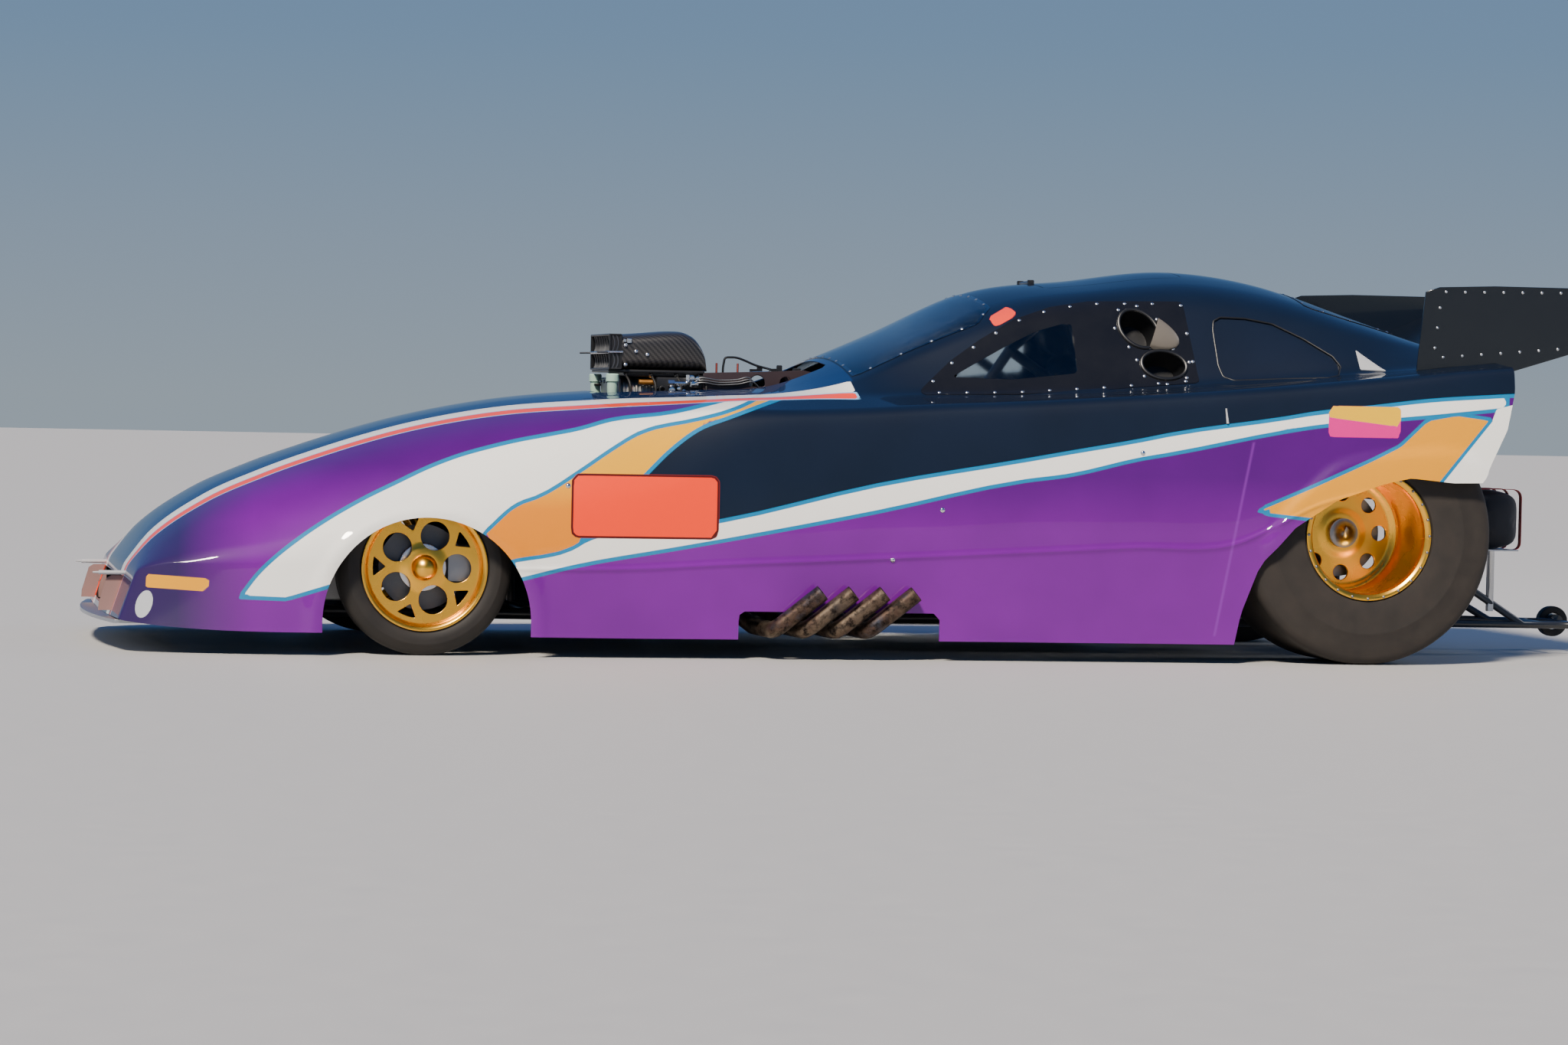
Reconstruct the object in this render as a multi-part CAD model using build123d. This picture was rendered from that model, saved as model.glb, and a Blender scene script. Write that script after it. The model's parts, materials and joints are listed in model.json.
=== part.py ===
from build123d import *
from collections import namedtuple
from math import hypot, pi, radians, sin, cos, tan
import os

# A supercharged drag racing car whose one-piece body tilts up from the rear.
# Millimetres. +X runs to the tail, +Z is up and the car's left side is at -Y.
# The origin is on the ground under the middle of the car's length.

os.makedirs("parts", exist_ok=True)

# The whole car
WHEELBASE = 3175
NOSE_REACH = 1050
REAR_REACH = 1145
LENGTH = NOSE_REACH + WHEELBASE + REAR_REACH
FRONT_AXLE = NOSE_REACH - LENGTH / 2
REAR_AXLE = FRONT_AXLE + WHEELBASE

# Clearances
RUNNING_FIT = 0.06
SEAT_GAP = 0.3
SWING_GAP = 5

# Front wheels
FRONT_TRACK = 1544
FRONT_TIRE_RADIUS = 285
FRONT_TIRE_WIDTH = 114
FRONT_RIM_SEAT = 190.5
FRONT_RIM_WIDTH = 89
FRONT_FLANGE_RISE = 16
FRONT_LIP = 6
FRONT_DISC_OFFSET = 16
FRONT_DISC_THICK = 9
FRONT_HUB_RADIUS = 40
SPINDLE_RADIUS = 14
HOLE_START = 71
ROTOR_RADIUS = 140
ROTOR_THICK = 8
ROTOR_INSET = 42
WHEEL_HOLES = 5
HOLE_RADIUS = 46
HOLE_CIRCLE = 109

# Rear wheels
REAR_TRACK = 1428
SLICK_RADIUS = 437
SLICK_WIDTH = 432
REAR_RIM_SEAT = 203.2
REAR_RIM_WIDTH = 406
REAR_FLANGE_RISE = 17
REAR_LIP = 8
REAR_WEB_INSET = 90
REAR_WEB_THICK = 14
REAR_HOLES = 8
REAR_HOLE_CIRCLE = 135
REAR_HOLE_RADIUS = 26
AXLE_SHAFT_RADIUS = 22

# Steering
KINGPIN_INSET = 105
KINGPIN_HALF = FRONT_TRACK / 2 - KINGPIN_INSET
KINGPIN_RADIUS = 10
BOSS_HALF = 45
BOSS_RADIUS = 20
PIN_HALF = 68
EYE_HEIGHT = 20
UPRIGHT_OUT = 25
STEER_ARM = 115
ARM_INBOARD = 25
RACK_RADIUS = 9
RACK_CASE_HALF = 220
ARM_RADIUS = 8
PAD_HALF = 9.5
ROD_EYE_HALF = 10.5
ROD_EYE_GAP = 1
COLUMN_FOOT = 1665
COLUMN_LOW = 600
YOKE_PLACE = 2120
YOKE_HEIGHT = 770
YOKE_HALF = 115
YOKE_DROP = 80
YOKE_RADIUS = 11
ARM_HEIGHT = FRONT_TIRE_RADIUS - BOSS_HALF - SEAT_GAP - EYE_HEIGHT / 2
RACK_HEIGHT = ARM_HEIGHT + PAD_HALF + ROD_EYE_GAP + ROD_EYE_HALF

# Body shell
WALL = 6
SKIRT_DROP = 60
Section = namedtuple(
    "Section",
    "axle x top edge_y edge_z base_y base_z belt_y belt_z side_y side_z crease_y crease_z skirt_y skirt_z",
)
# Half sections of the shell, each x measured from the named axle. From the top centre down:
# roof or hood edge, foot of the greenhouse, belt, middle of the side, lower crease, skirt.
SECTIONS = [
    Section("front", -1000, 262, 330, 258, 600, 250, 735, 242, 760, 235, 775, 225, 780, 108),
    Section("front", -942, 287, 340, 283, 600, 275, 745, 268, 775, 264, 790, 258, 795, 100),
    Section("front", -850, 392, 350, 384, 610, 352, 755, 318, 800, 302, 823, 287, 828, 90),
    Section("front", -685, 513, 365, 502, 640, 455, 785, 385, 840, 335, 862, 289, 866, 80),
    Section("front", -500, 600, 385, 587, 660, 533, 805, 445, 866, 360, 888, 290, 890, 76),
    Section("front", -300, 675, 400, 661, 675, 602, 820, 510, 884, 400, 901, 290, 902, 76),
    Section("front", 0, 769, 420, 752, 690, 692, 832, 600, 892, 450, 905, 290, 904, 72),
    Section("front", 300, 833, 435, 814, 700, 758, 840, 678, 895, 480, 905, 288, 902, 68),
    Section("front", 650, 872, 450, 853, 705, 812, 846, 755, 895, 530, 903, 292, 897, 66),
    Section("front", 1000, 888, 455, 870, 700, 845, 852, 806, 893, 560, 900, 312, 893, 66),
    Section("front", 1230, 905, 480, 884, 695, 858, 855, 811, 896, 570, 903, 323, 895, 66),
    Section("front", 1440, 990, 560, 922, 690, 872, 858, 820, 900, 580, 906, 334, 897, 66),
    Section("front", 1700, 1100, 552, 1045, 675, 880, 862, 841, 904, 592, 910, 348, 900, 66),
    Section("front", 1990, 1238, 530, 1160, 662, 888, 872, 860, 912, 605, 917, 364, 905, 66),
    Section("rear", -815, 1292, 508, 1225, 655, 903, 886, 888, 925, 630, 932, 385, 918, 66),
    Section("rear", -485, 1330, 503, 1245, 655, 928, 900, 914, 940, 650, 948, 400, 935, 66),
    Section("rear", -175, 1295, 505, 1205, 665, 955, 912, 943, 952, 700, 962, 545, 955, 66),
    Section("rear", 125, 1198, 515, 1132, 695, 988, 922, 973, 955, 760, 965, 600, 958, 66),
    Section("rear", 325, 1127, 535, 1082, 725, 1010, 922, 996, 950, 800, 960, 610, 955, 66),
    Section("rear", 505, 1065, 565, 1048, 760, 1025, 915, 1010, 940, 820, 950, 620, 945, 66),
]
# Nose face: how far ahead of the front axle its middle and corners stand, low and high
NOSE_LOW = 1020
NOSE_HIGH = 837
NOSE_HEIGHT = 600
NOSE_SWEEP = 46
NOSE_CORNER = 780
# Tail edge seen from the side, each point behind the rear axle and above the ground
TAIL_FOOT = (385, 620)
TAIL_KNEE = (475, 800)
TAIL_LIP = (505, 930)
# Front wheel arch: a round opening, open to the ground
ARCH_RADIUS = 338
ARCH_CENTER_Z = 112
# Rear wheel arch, each point from the rear axle and above the ground
REAR_ARCH = [(-475, 0), (-450, 170), (-390, 330), (-275, 460), (-130, 555), (35, 612), (125, 632),
             (275, 618), (385, 620)]
GRILLE_HALF = 480
GRILLE_LOW = 130
GRILLE_HIGH = 235
GRILLE_DEPTH = 200
HOOD_HOLE_START = 650
HOOD_HOLE_END = 1440
HOOD_HOLE_HALF = 285
HOOD_CUT_LOW = 500
EXHAUST_CUT_START = 1025
EXHAUST_CUT_END = 1700
EXHAUST_CUT_TOP = 158
EXHAUST_CUT_SLOPE = 40
# Panel joints
CLIP_JOINT = -345
COWL_JOINT = 1455
QUARTER_JOINT = -462
# Windshield outline seen from above: x from the front axle, half width
WINDSHIELD = [(1480, 535), (1900, 512), (1960, 430)]
# Side window panel seen from the side: x from the front axle and height
SIDE_PANEL = [(1690, 890), (1800, 985), (1910, 1060), (2030, 1128), (2165, 1174), (2300, 1196),
              (2615, 1203), (2640, 950), (2000, 897)]
UPPER_VENT = (2460, 1118, 66)
LOWER_VENT = (2550, 1000, 58)
# Quarter window, x from the rear axle and height
QUARTER_WINDOW = [(-440, 962), (-425, 1165), (-250, 1160), (-60, 1085), (-45, 985)]
REAR_WINDOW = [(-60, 400), (250, 380)]
# Roof hatch
HATCH_START = -975
HATCH_END = -475
HATCH_HALF = 280
HATCH_PIN_RADIUS = 4
HATCH_BARREL_RADIUS = 8
HATCH_BARREL_HALF = 60
HATCH_LUG_WIDTH = 18

# Opening in the tail for the frame and the parachutes
TAIL_OPEN_HALF = 931
TAIL_OPEN_TOP = 790

# Body hinge behind the rear axle
HINGE_BACK = 425
HINGE_HEIGHT = 720
HINGE_HALF = 250
HINGE_PIN_RADIUS = 12
HINGE_EYE_RADIUS = 30
HINGE_PLATE = 12

# Rear spoiler
SPOILER_HALF = 740
SPOILER_START = 400
SPOILER_LOW = 1042
SPOILER_END = 850
SPOILER_RISE = 200
SPOILER_THICK = 8
SPILL_THICK = 6
SPILL_FRONT = 235
SPILL_TOP = 1290
SPILL_LOW = 1000

# Front splitter
SPLITTER_LOW = 92
SPLITTER_THICK = 12
SPLITTER_HALF = 740
SPLITTER_BACK = 860
SPLITTER_SWEEP = 60

# Frame tubes
RAIL_RADIUS = 19
BRACE_RADIUS = 14
CAGE_RADIUS = 18
RAIL_HALF = 300
RAIL_LOW = 115
RAIL_HIGH = 345
RAIL_NOSE = -560
NOSE_HALF = 170
DASH_HEIGHT = 560
HOOP_X = -475
WAIST_HEIGHT = 620
FRAME_END = 300
TAIL_HEIGHT = 560
POST_HALF = 220
CAGE_TOP = 1225
WELD_RISE = 1.5
CAGE_TOP_HALF = 240

# Fuel tank ahead of the front axle
TANK_START = -530
TANK_END = -150
TANK_HALF = 140
TANK_HEIGHT = 190
TANK_BEARERS = (-480, -200)

# Engine
ENGINE_START = 770
ENGINE_LENGTH = 600
CRANK_HEIGHT = 265
PAN_HALF = 125
PAN_LOW = 85
DECK_HALF = 193
DECK_Z = 458
DECK_SPAN = 94.5
HEAD_THICK = 120
HEAD_WIDTH = 190
BLOWER_START = 730
BLOWER_LENGTH = 480
BLOWER_HALF = 145
BLOWER_LOW = 690
BLOWER_TOP = 925
HAT_START = 680
HAT_INLET = 100
HAT_END = 1070
HAT_HALF = 190
HAT_BASE = 945
HAT_TOP = 1078
HAT_WALL = 5
HAT_VANES = 6
VALLEY = 470
COVER_THICK = 65
PULLEY_RADIUS = 78
DRIVE_HEIGHT = 778
BELT_START = 655
BELT_WIDTH = 70
BELT_THICK = 8

# Exhaust headers
PIPE_RADIUS = 28
PIPE_BORE = 25
PIPE_COUNT = 4
PIPE_PITCH = 105
PIPE_START = 1040
PIPE_RUN = 250
PIPE_TURN_HALF = 918
PIPE_TIP_HALF = 960
PIPE_BEND = 45
PIPE_DEPTH = 60
PIPE_DROP = 116
PORT_FIRST = 100
PORT_PITCH = 122
PIPE_TIP_Z = 225

# Cockpit
FIREWALL = 1640
SEAT_HALF = 210
TUB_END = -500
TUB_HALF = 270
TUB_FLOOR = 96
TUB_TOP = 540
SHEET = 4

# Driveline
BELL_LENGTH = 190
BELL_RADIUS = 175
GEARBOX_LENGTH = 330
GEARBOX_RADIUS = 95
PINION_HEIGHT = 342
HOUSING_RADIUS = 45
HOUSING_END = 470

# Wheelie bar and parachutes
BAR_WHEEL_RADIUS = 55
BAR_WHEEL_WIDTH = 45
BAR_WHEEL_HEIGHT = 105
BAR_WHEEL_HALF = 175
BAR_RADIUS = 13
BRACE_MEETS = 0.8
BAR_AXLE_RADIUS = 8
PACK_START = 520
PACK_LENGTH = 300
PACK_WIDTH = 200
PACK_HEIGHT = 210
PACK_HALF = 130
PACK_FLOOR = 375
TRAY_THICK = 5


def front(x):
    """Place x millimetres behind the front axle."""
    return FRONT_AXLE + x


def rear(x):
    """Place x millimetres behind the rear axle."""
    return REAR_AXLE + x


def save(name, *shapes):
    """Write the shapes as one node."""
    solids = [s for shape in shapes for s in shape.solids()]
    export_step(solids[0] if len(solids) == 1 else Compound(children=solids), f"parts/{name}.step")


def mirrored(shape):
    """The same shape on the other side of the car."""
    return shape.mirror(Plane.XZ)


def block(x0, x1, y0, y1, z0, z1):
    """A box between two corners."""
    box = Solid.make_box(abs(x1 - x0), abs(y1 - y0), abs(z1 - z0))
    return box.translate((min(x0, x1), min(y0, y1), min(z0, z1)))


def rod(start, end, radius):
    """A round bar between two points."""
    start, end = Vector(start), Vector(end)
    return Solid.make_cylinder(radius, (end - start).length, Plane(start, z_dir=end - start))


def fused(shapes):
    """All shapes joined as one."""
    return Part() + list(shapes)


def traced(steps, place):
    """A face inside an outline. A step is a point, or a pair of points: an arc through one to the other."""
    first = last = Vector(*place(*steps[0]))
    edges = []
    for step in steps[1:]:
        if isinstance(step[0], tuple):
            through, end = (Vector(*place(*point)) for point in step)
            edges.append(Edge.make_three_point_arc(last, through, end))
        else:
            end = Vector(*place(*step))
            edges.append(Edge.make_line(last, end))
        last = end
    if (last - first).length > 0.001:
        edges.append(Edge.make_line(last, first))
    return Face(Wire(edges))


def side_prism(steps, y0, y1):
    """A side outline of (x, z) steps carried across from y0 to y1."""
    return Solid.extrude(traced(steps, lambda x, z: (x, y0, z)), Vector(0, y1 - y0, 0))


def plan_prism(steps, z0, z1):
    """A plan outline of (x, y) steps carried up from z0 to z1."""
    return Solid.extrude(traced(steps, lambda x, y: (x, y, z0)), Vector(0, 0, z1 - z0))


def cross_prism(steps, x0, x1):
    """A cross outline of (y, z) steps carried back from x0 to x1."""
    return Solid.extrude(traced(steps, lambda y, z: (x0, y, z)), Vector(x1 - x0, 0, 0))


def turned(steps, x, y, z):
    """A ring turned about a line along Y through (x, y, z), from (offset along Y, radius) steps."""
    face = traced(steps, lambda a, r: (x, y + a, z + r))
    return Solid.revolve(face, 360, Axis((x, y, z), (0, 1, 0)))


def station(section):
    """Where a section stands along the car."""
    return front(section.x) if section.axle == "front" else rear(section.x)


def half_outline(section, inset):
    """Corner points (y, z) of a half section, moved inwards by the inset."""
    corners = [
        (0, section.top),
        (section.edge_y, section.edge_z),
        (section.base_y, section.base_z),
        (section.belt_y, section.belt_z),
        (section.side_y, section.side_z),
        (section.crease_y, section.crease_z),
        (section.skirt_y, section.skirt_z),
    ]
    moved = []
    for i, (y, z) in enumerate(corners):
        normals = []
        for a, b in ((i - 1, i), (i, i + 1)):
            if a >= 0 and b < len(corners):
                dy, dz = corners[b][0] - corners[a][0], corners[b][1] - corners[a][1]
                size = hypot(dy, dz)
                normals.append((-dz / size, dy / size))
        if i == 0:
            normals = [(0, 1)]
        ny = sum(n[0] for n in normals)
        nz = sum(n[1] for n in normals)
        scale = 2 * inset / (ny * ny + nz * nz) if len(normals) == 2 else inset
        moved.append((y - ny * scale, z - nz * scale))
    if inset:
        moved[-1] = (moved[-1][0], moved[-1][1] - SKIRT_DROP)
    return moved


def section_wire(section, inset):
    """The closed section as a wire of lines and arcs."""
    x = station(section)
    top, edge, base, belt, side, crease, skirt = [
        Vector(x, y, z) for y, z in half_outline(section, inset)
    ]

    def across(point):
        return Vector(point.X, -point.Y, point.Z)

    edges = [
        Edge.make_three_point_arc(across(edge), top, edge),
        Edge.make_line(edge, base),
        Edge.make_line(base, belt),
        Edge.make_three_point_arc(belt, side, crease),
        Edge.make_line(crease, skirt),
        Edge.make_line(skirt, across(skirt)),
        Edge.make_line(across(skirt), across(crease)),
        Edge.make_three_point_arc(across(crease), across(side), across(belt)),
        Edge.make_line(across(belt), across(base)),
        Edge.make_line(across(base), across(edge)),
    ]
    return Wire(edges)


def nose_limit(inset):
    """Everything behind the swept and slanted nose face."""
    wires = []
    for z, reach in ((0, NOSE_LOW), (NOSE_HEIGHT, NOSE_HIGH)):
        middle = front(-reach) + inset
        corner = middle + NOSE_SWEEP
        edges = [
            Edge.make_three_point_arc((corner, NOSE_CORNER, z), (middle, 0, z), (corner, -NOSE_CORNER, z)),
            Edge.make_line((corner, -NOSE_CORNER, z), (corner + NOSE_SWEEP, -NOSE_CORNER * 1.5, z)),
            Edge.make_line((corner + NOSE_SWEEP, -NOSE_CORNER * 1.5, z), (LENGTH, -NOSE_CORNER * 1.5, z)),
            Edge.make_line((LENGTH, -NOSE_CORNER * 1.5, z), (LENGTH, NOSE_CORNER * 1.5, z)),
            Edge.make_line((LENGTH, NOSE_CORNER * 1.5, z), (corner + NOSE_SWEEP, NOSE_CORNER * 1.5, z)),
            Edge.make_line((corner + NOSE_SWEEP, NOSE_CORNER * 1.5, z), (corner, NOSE_CORNER, z)),
        ]
        wires.append(Wire(edges))
    low = Solid.make_loft(wires, ruled=True)
    above = block(front(-NOSE_HIGH), LENGTH, -NOSE_CORNER * 1.5, NOSE_CORNER * 1.5, NOSE_HEIGHT, 1600)
    return low.fuse(above)


def tail_limit(inset):
    """Everything ahead of the slanted tail."""
    points = [
        (-LENGTH, -SKIRT_DROP * 2),
        (rear(TAIL_FOOT[0]) - inset, -SKIRT_DROP * 2),
        (rear(TAIL_FOOT[0]) - inset, TAIL_FOOT[1]),
        (rear(TAIL_KNEE[0]) - inset, TAIL_KNEE[1]),
        (rear(TAIL_LIP[0]) - inset, TAIL_LIP[1]),
        (rear(TAIL_LIP[0]) - inset, 2000),
        (-LENGTH, 2000),
    ]
    return side_prism(points, -1500, 1500)


def envelope(inset):
    """The body as a filled shape, moved inwards by the inset."""
    filled = Solid.make_loft([section_wire(s, inset) for s in SECTIONS], ruled=True)
    return (filled & tail_limit(inset)) & nose_limit(inset)


def at_front(points):
    """Outline points with x taken from the front axle."""
    return [(front(a), b) for a, b in points]


def at_rear(points):
    """Outline points with x taken from the rear axle."""
    return [(rear(a), b) for a, b in points]


def arch_cutters():
    """The space above the ground that both pairs of wheels stand in."""
    wide = 1.3 * FRONT_TRACK / 2
    round_top = Solid.make_cylinder(ARCH_RADIUS, 2 * wide, Plane((front(0), -wide, ARCH_CENTER_Z), z_dir=(0, 1, 0)))
    below = block(front(-ARCH_RADIUS), front(ARCH_RADIUS), -wide, wide, -SKIRT_DROP * 2, ARCH_CENTER_Z)
    outline = at_rear(REAR_ARCH)
    back = [(rear(TAIL_FOOT[0]) + 100, TAIL_FOOT[1]), (rear(TAIL_FOOT[0]) + 100, -SKIRT_DROP * 2),
            (outline[0][0], -SKIRT_DROP * 2)]
    return round_top.fuse(below), side_prism(outline + back, -wide, wide)


def plan_opening(points, z0, z1, shrink=0):
    """A symmetrical opening seen from above, from (x, half width) points."""
    x0, x1 = points[0][0], points[-1][0]
    right = [(min(max(x, x0 + shrink), x1 - shrink), half - shrink) for x, half in points]
    left = [(x, -half) for x, half in reversed(right)]
    return plan_prism(right + left, z0, z1)


def oval(center_x, center_z, radius, y0, y1):
    """A round cutter along Y."""
    return Solid.make_cylinder(radius, abs(y1 - y0), Plane((center_x, min(y0, y1), center_z), z_dir=(0, 1, 0)))


def roof_height(x):
    """Height of the shell's centre line at x."""
    stations = [(station(s), s.top) for s in SECTIONS]
    for (x0, z0), (x1, z1) in zip(stations, stations[1:]):
        if x0 <= x <= x1:
            return z0 + (z1 - z0) * (x - x0) / (x1 - x0)
    return stations[-1][1]


def side_window_cutter(y0, y1):
    """The side panel's outline carried across."""
    return side_prism(at_front(SIDE_PANEL), y0, y1)


def hatch_hinge_place():
    """The hatch pin's x and z."""
    x = rear(HATCH_START) + SWING_GAP + HATCH_PIN_RADIUS
    return x, roof_height(x) + HATCH_BARREL_RADIUS + 1


def hatch_lugs():
    """Two lugs on the roof that hold the hatch pin."""
    x, z = hatch_hinge_place()
    low = HATCH_BARREL_RADIUS + 1
    steps = [(x - 4 * low, z - low - 4), (x - low - 2, z - low - 3), (x - 4, z - 6), (x, z),
             (x - 2, z + HATCH_BARREL_RADIUS - 1), (x - 2 * low, z)]
    near = HATCH_BARREL_HALF + SEAT_GAP
    far = near + HATCH_LUG_WIDTH
    lug = side_prism(steps, near, far).fuse(
        rod((x, near, z), (x, far, z), HATCH_BARREL_RADIUS))
    pin = rod((x, -far, z), (x, far, z), HATCH_PIN_RADIUS)
    return [lug, mirrored(lug), pin]


def hatch_barrel():
    """The barrel on the hatch's front edge, with its tongue down to the panel."""
    x, z = hatch_hinge_place()
    barrel = rod((x, -HATCH_BARREL_HALF, z), (x, HATCH_BARREL_HALF, z), HATCH_BARREL_RADIUS)
    slope = (roof_height(x + 60) - roof_height(x)) / 60
    low = -HATCH_BARREL_RADIUS - 4
    tongue = side_prism([(x, z + low), (x + 60, z + low + 60 * slope), (x + 60, z + low + 5 + 60 * slope),
                         (x, z + HATCH_BARREL_RADIUS - 1)], -HATCH_BARREL_HALF, HATCH_BARREL_HALF)
    bore = rod((x, -2 * HATCH_BARREL_HALF, z), (x, 2 * HATCH_BARREL_HALF, z), HATCH_PIN_RADIUS + RUNNING_FIT)
    return barrel.fuse(tongue), bore


def body_group():
    """The lift-up body: panels, windows, hatch and wing."""
    outer, cavity = envelope(0), envelope(WALL)
    shell = cut_shell(outer, cavity)
    windows = {}
    glass = plan_opening(at_front(WINDSHIELD), HINGE_HEIGHT, 2 * HINGE_HEIGHT)
    windows["windshield"] = shell & glass
    quarters = []
    shell -= glass
    for side, y0, y1 in (("left", -NOSE_CORNER, -SPILL_FRONT), ("right", SPILL_FRONT, NOSE_CORNER)):
        cutter = side_window_cutter(y0, y1)
        panel = shell & cutter
        for x, z, radius in (UPPER_VENT, LOWER_VENT):
            panel -= oval(front(x), z, radius, y0, y1)
        windows["side_window_" + side] = panel
        shell -= cutter
        quarter = side_prism(at_rear(QUARTER_WINDOW), y0, y1)
        quarters.append(shell & quarter)
        shell -= quarter
    back = plan_opening(at_rear(REAR_WINDOW), 1000, 2 * HINGE_HEIGHT)
    windows["rear_window"] = shell & back
    shell -= back
    hatch_plan = at_rear([(HATCH_START, HATCH_HALF), (HATCH_END, HATCH_HALF)])
    hatch = shell & plan_opening(hatch_plan, 1100, 2 * HINGE_HEIGHT, SWING_GAP)
    shell -= plan_opening(hatch_plan, 1100, 2 * HINGE_HEIGHT)
    tongue, bore = hatch_barrel()
    hatch = hatch.fuse(tongue) - bore
    joints = [front(-2 * NOSE_REACH), front(CLIP_JOINT), front(COWL_JOINT), rear(QUARTER_JOINT), LENGTH]
    names = ["front_clip", "hood_and_fenders", "cabin_shell", "rear_quarters"]
    for name, x0, x1 in zip(names, joints, joints[1:]):
        panel = shell & block(x0, x1, -1200, 1200, -200, 1600)
        if name == "cabin_shell":
            panel = fused([panel] + hatch_lugs())
        save(name, panel)
    for name, window in windows.items():
        save(name, window)
    save("quarter_windows", *quarters)
    save("roof_hatch", hatch)
    wing(outer)
    save("body_hinge_arms", *hinge_arms(cavity))
    splitter(shell)


def cut_shell(outer, cavity):
    """The hollow body with its arches, grille, hood hole and exhaust cut-outs."""
    shell = outer - cavity
    for cutter in arch_cutters():
        shell -= cutter
    shell -= block(front(-NOSE_REACH), front(-NOSE_REACH) + GRILLE_DEPTH, -GRILLE_HALF, GRILLE_HALF,
                   GRILLE_LOW, GRILLE_HIGH)
    shell -= block(front(HOOD_HOLE_START), front(HOOD_HOLE_END), -HOOD_HOLE_HALF, HOOD_HOLE_HALF,
                   HOOD_CUT_LOW, 2 * HINGE_HEIGHT)
    shell -= side_prism(at_front([(EXHAUST_CUT_START, -SKIRT_DROP * 2),
                                  (EXHAUST_CUT_START + EXHAUST_CUT_SLOPE / 2, EXHAUST_CUT_TOP),
                                  (EXHAUST_CUT_END - EXHAUST_CUT_SLOPE, EXHAUST_CUT_TOP),
                                  (EXHAUST_CUT_END, -SKIRT_DROP * 2)]), -1100, 1100)
    shell -= block(rear(TAIL_FOOT[0]) - 60, LENGTH, -TAIL_OPEN_HALF, TAIL_OPEN_HALF, 0, TAIL_OPEN_TOP)
    return shell


def wing(outer):
    """The rear spoiler blade and the plates at its ends."""
    blade = side_prism(at_rear([(SPOILER_START, SPOILER_LOW), (SPOILER_END, SPOILER_LOW + SPOILER_RISE),
                                (SPOILER_END, SPOILER_LOW + SPOILER_RISE + SPOILER_THICK),
                                (SPOILER_START, SPOILER_LOW + SPOILER_THICK)]), -SPOILER_HALF, SPOILER_HALF)
    save("rear_spoiler", blade - outer)
    plate = side_prism(at_rear([(SPILL_FRONT - 20, SPILL_LOW - 30), (SPILL_FRONT + 10, SPILL_TOP - 25),
                                (SPILL_FRONT + 60, SPILL_TOP - 8), (SPILL_FRONT + 260, SPILL_TOP),
                                (SPOILER_END + 10, SPILL_TOP), (SPOILER_END + 10, SPILL_LOW + 90),
                                (TAIL_LIP[0] + 60, SPILL_LOW), (TAIL_LIP[0], SPILL_LOW - 30)]),
                       SPOILER_HALF, SPOILER_HALF + SPILL_THICK)
    plate = plate - outer
    save("spill_plates", plate, mirrored(plate))


def hinge_arms(cavity):
    """Arms that hang from the deck down to the eyes of the body hinge."""
    x, z, r = rear(HINGE_BACK), HINGE_HEIGHT, HINGE_EYE_RADIUS
    y0, y1 = HINGE_HALF - HINGE_PLATE / 2, HINGE_HALF + HINGE_PLATE / 2
    arm = side_prism([(x - r, z), (x + r, z), (x + r + 20, 1300), (x - 2 * r, 1300)], y0, y1) & cavity
    eye = rod((x, y0, z), (x, y1, z), r)
    bore = rod((x, y0 - 5, z), (x, y1 + 5, z), HINGE_PIN_RADIUS + RUNNING_FIT)
    arm = arm.fuse(eye) - bore
    return arm, mirrored(arm)


def splitter(shell):
    """The lip under the nose."""
    tip, corner = front(-NOSE_REACH), front(-NOSE_REACH) + SPLITTER_SWEEP
    lip = plan_prism([(front(-SPLITTER_BACK), SPLITTER_HALF), (corner, SPLITTER_HALF),
                      ((tip, 0), (corner, -SPLITTER_HALF)), (front(-SPLITTER_BACK), -SPLITTER_HALF)],
                     SPLITTER_LOW, SPLITTER_LOW + SPLITTER_THICK)
    save("front_splitter", lip - shell)


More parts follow.
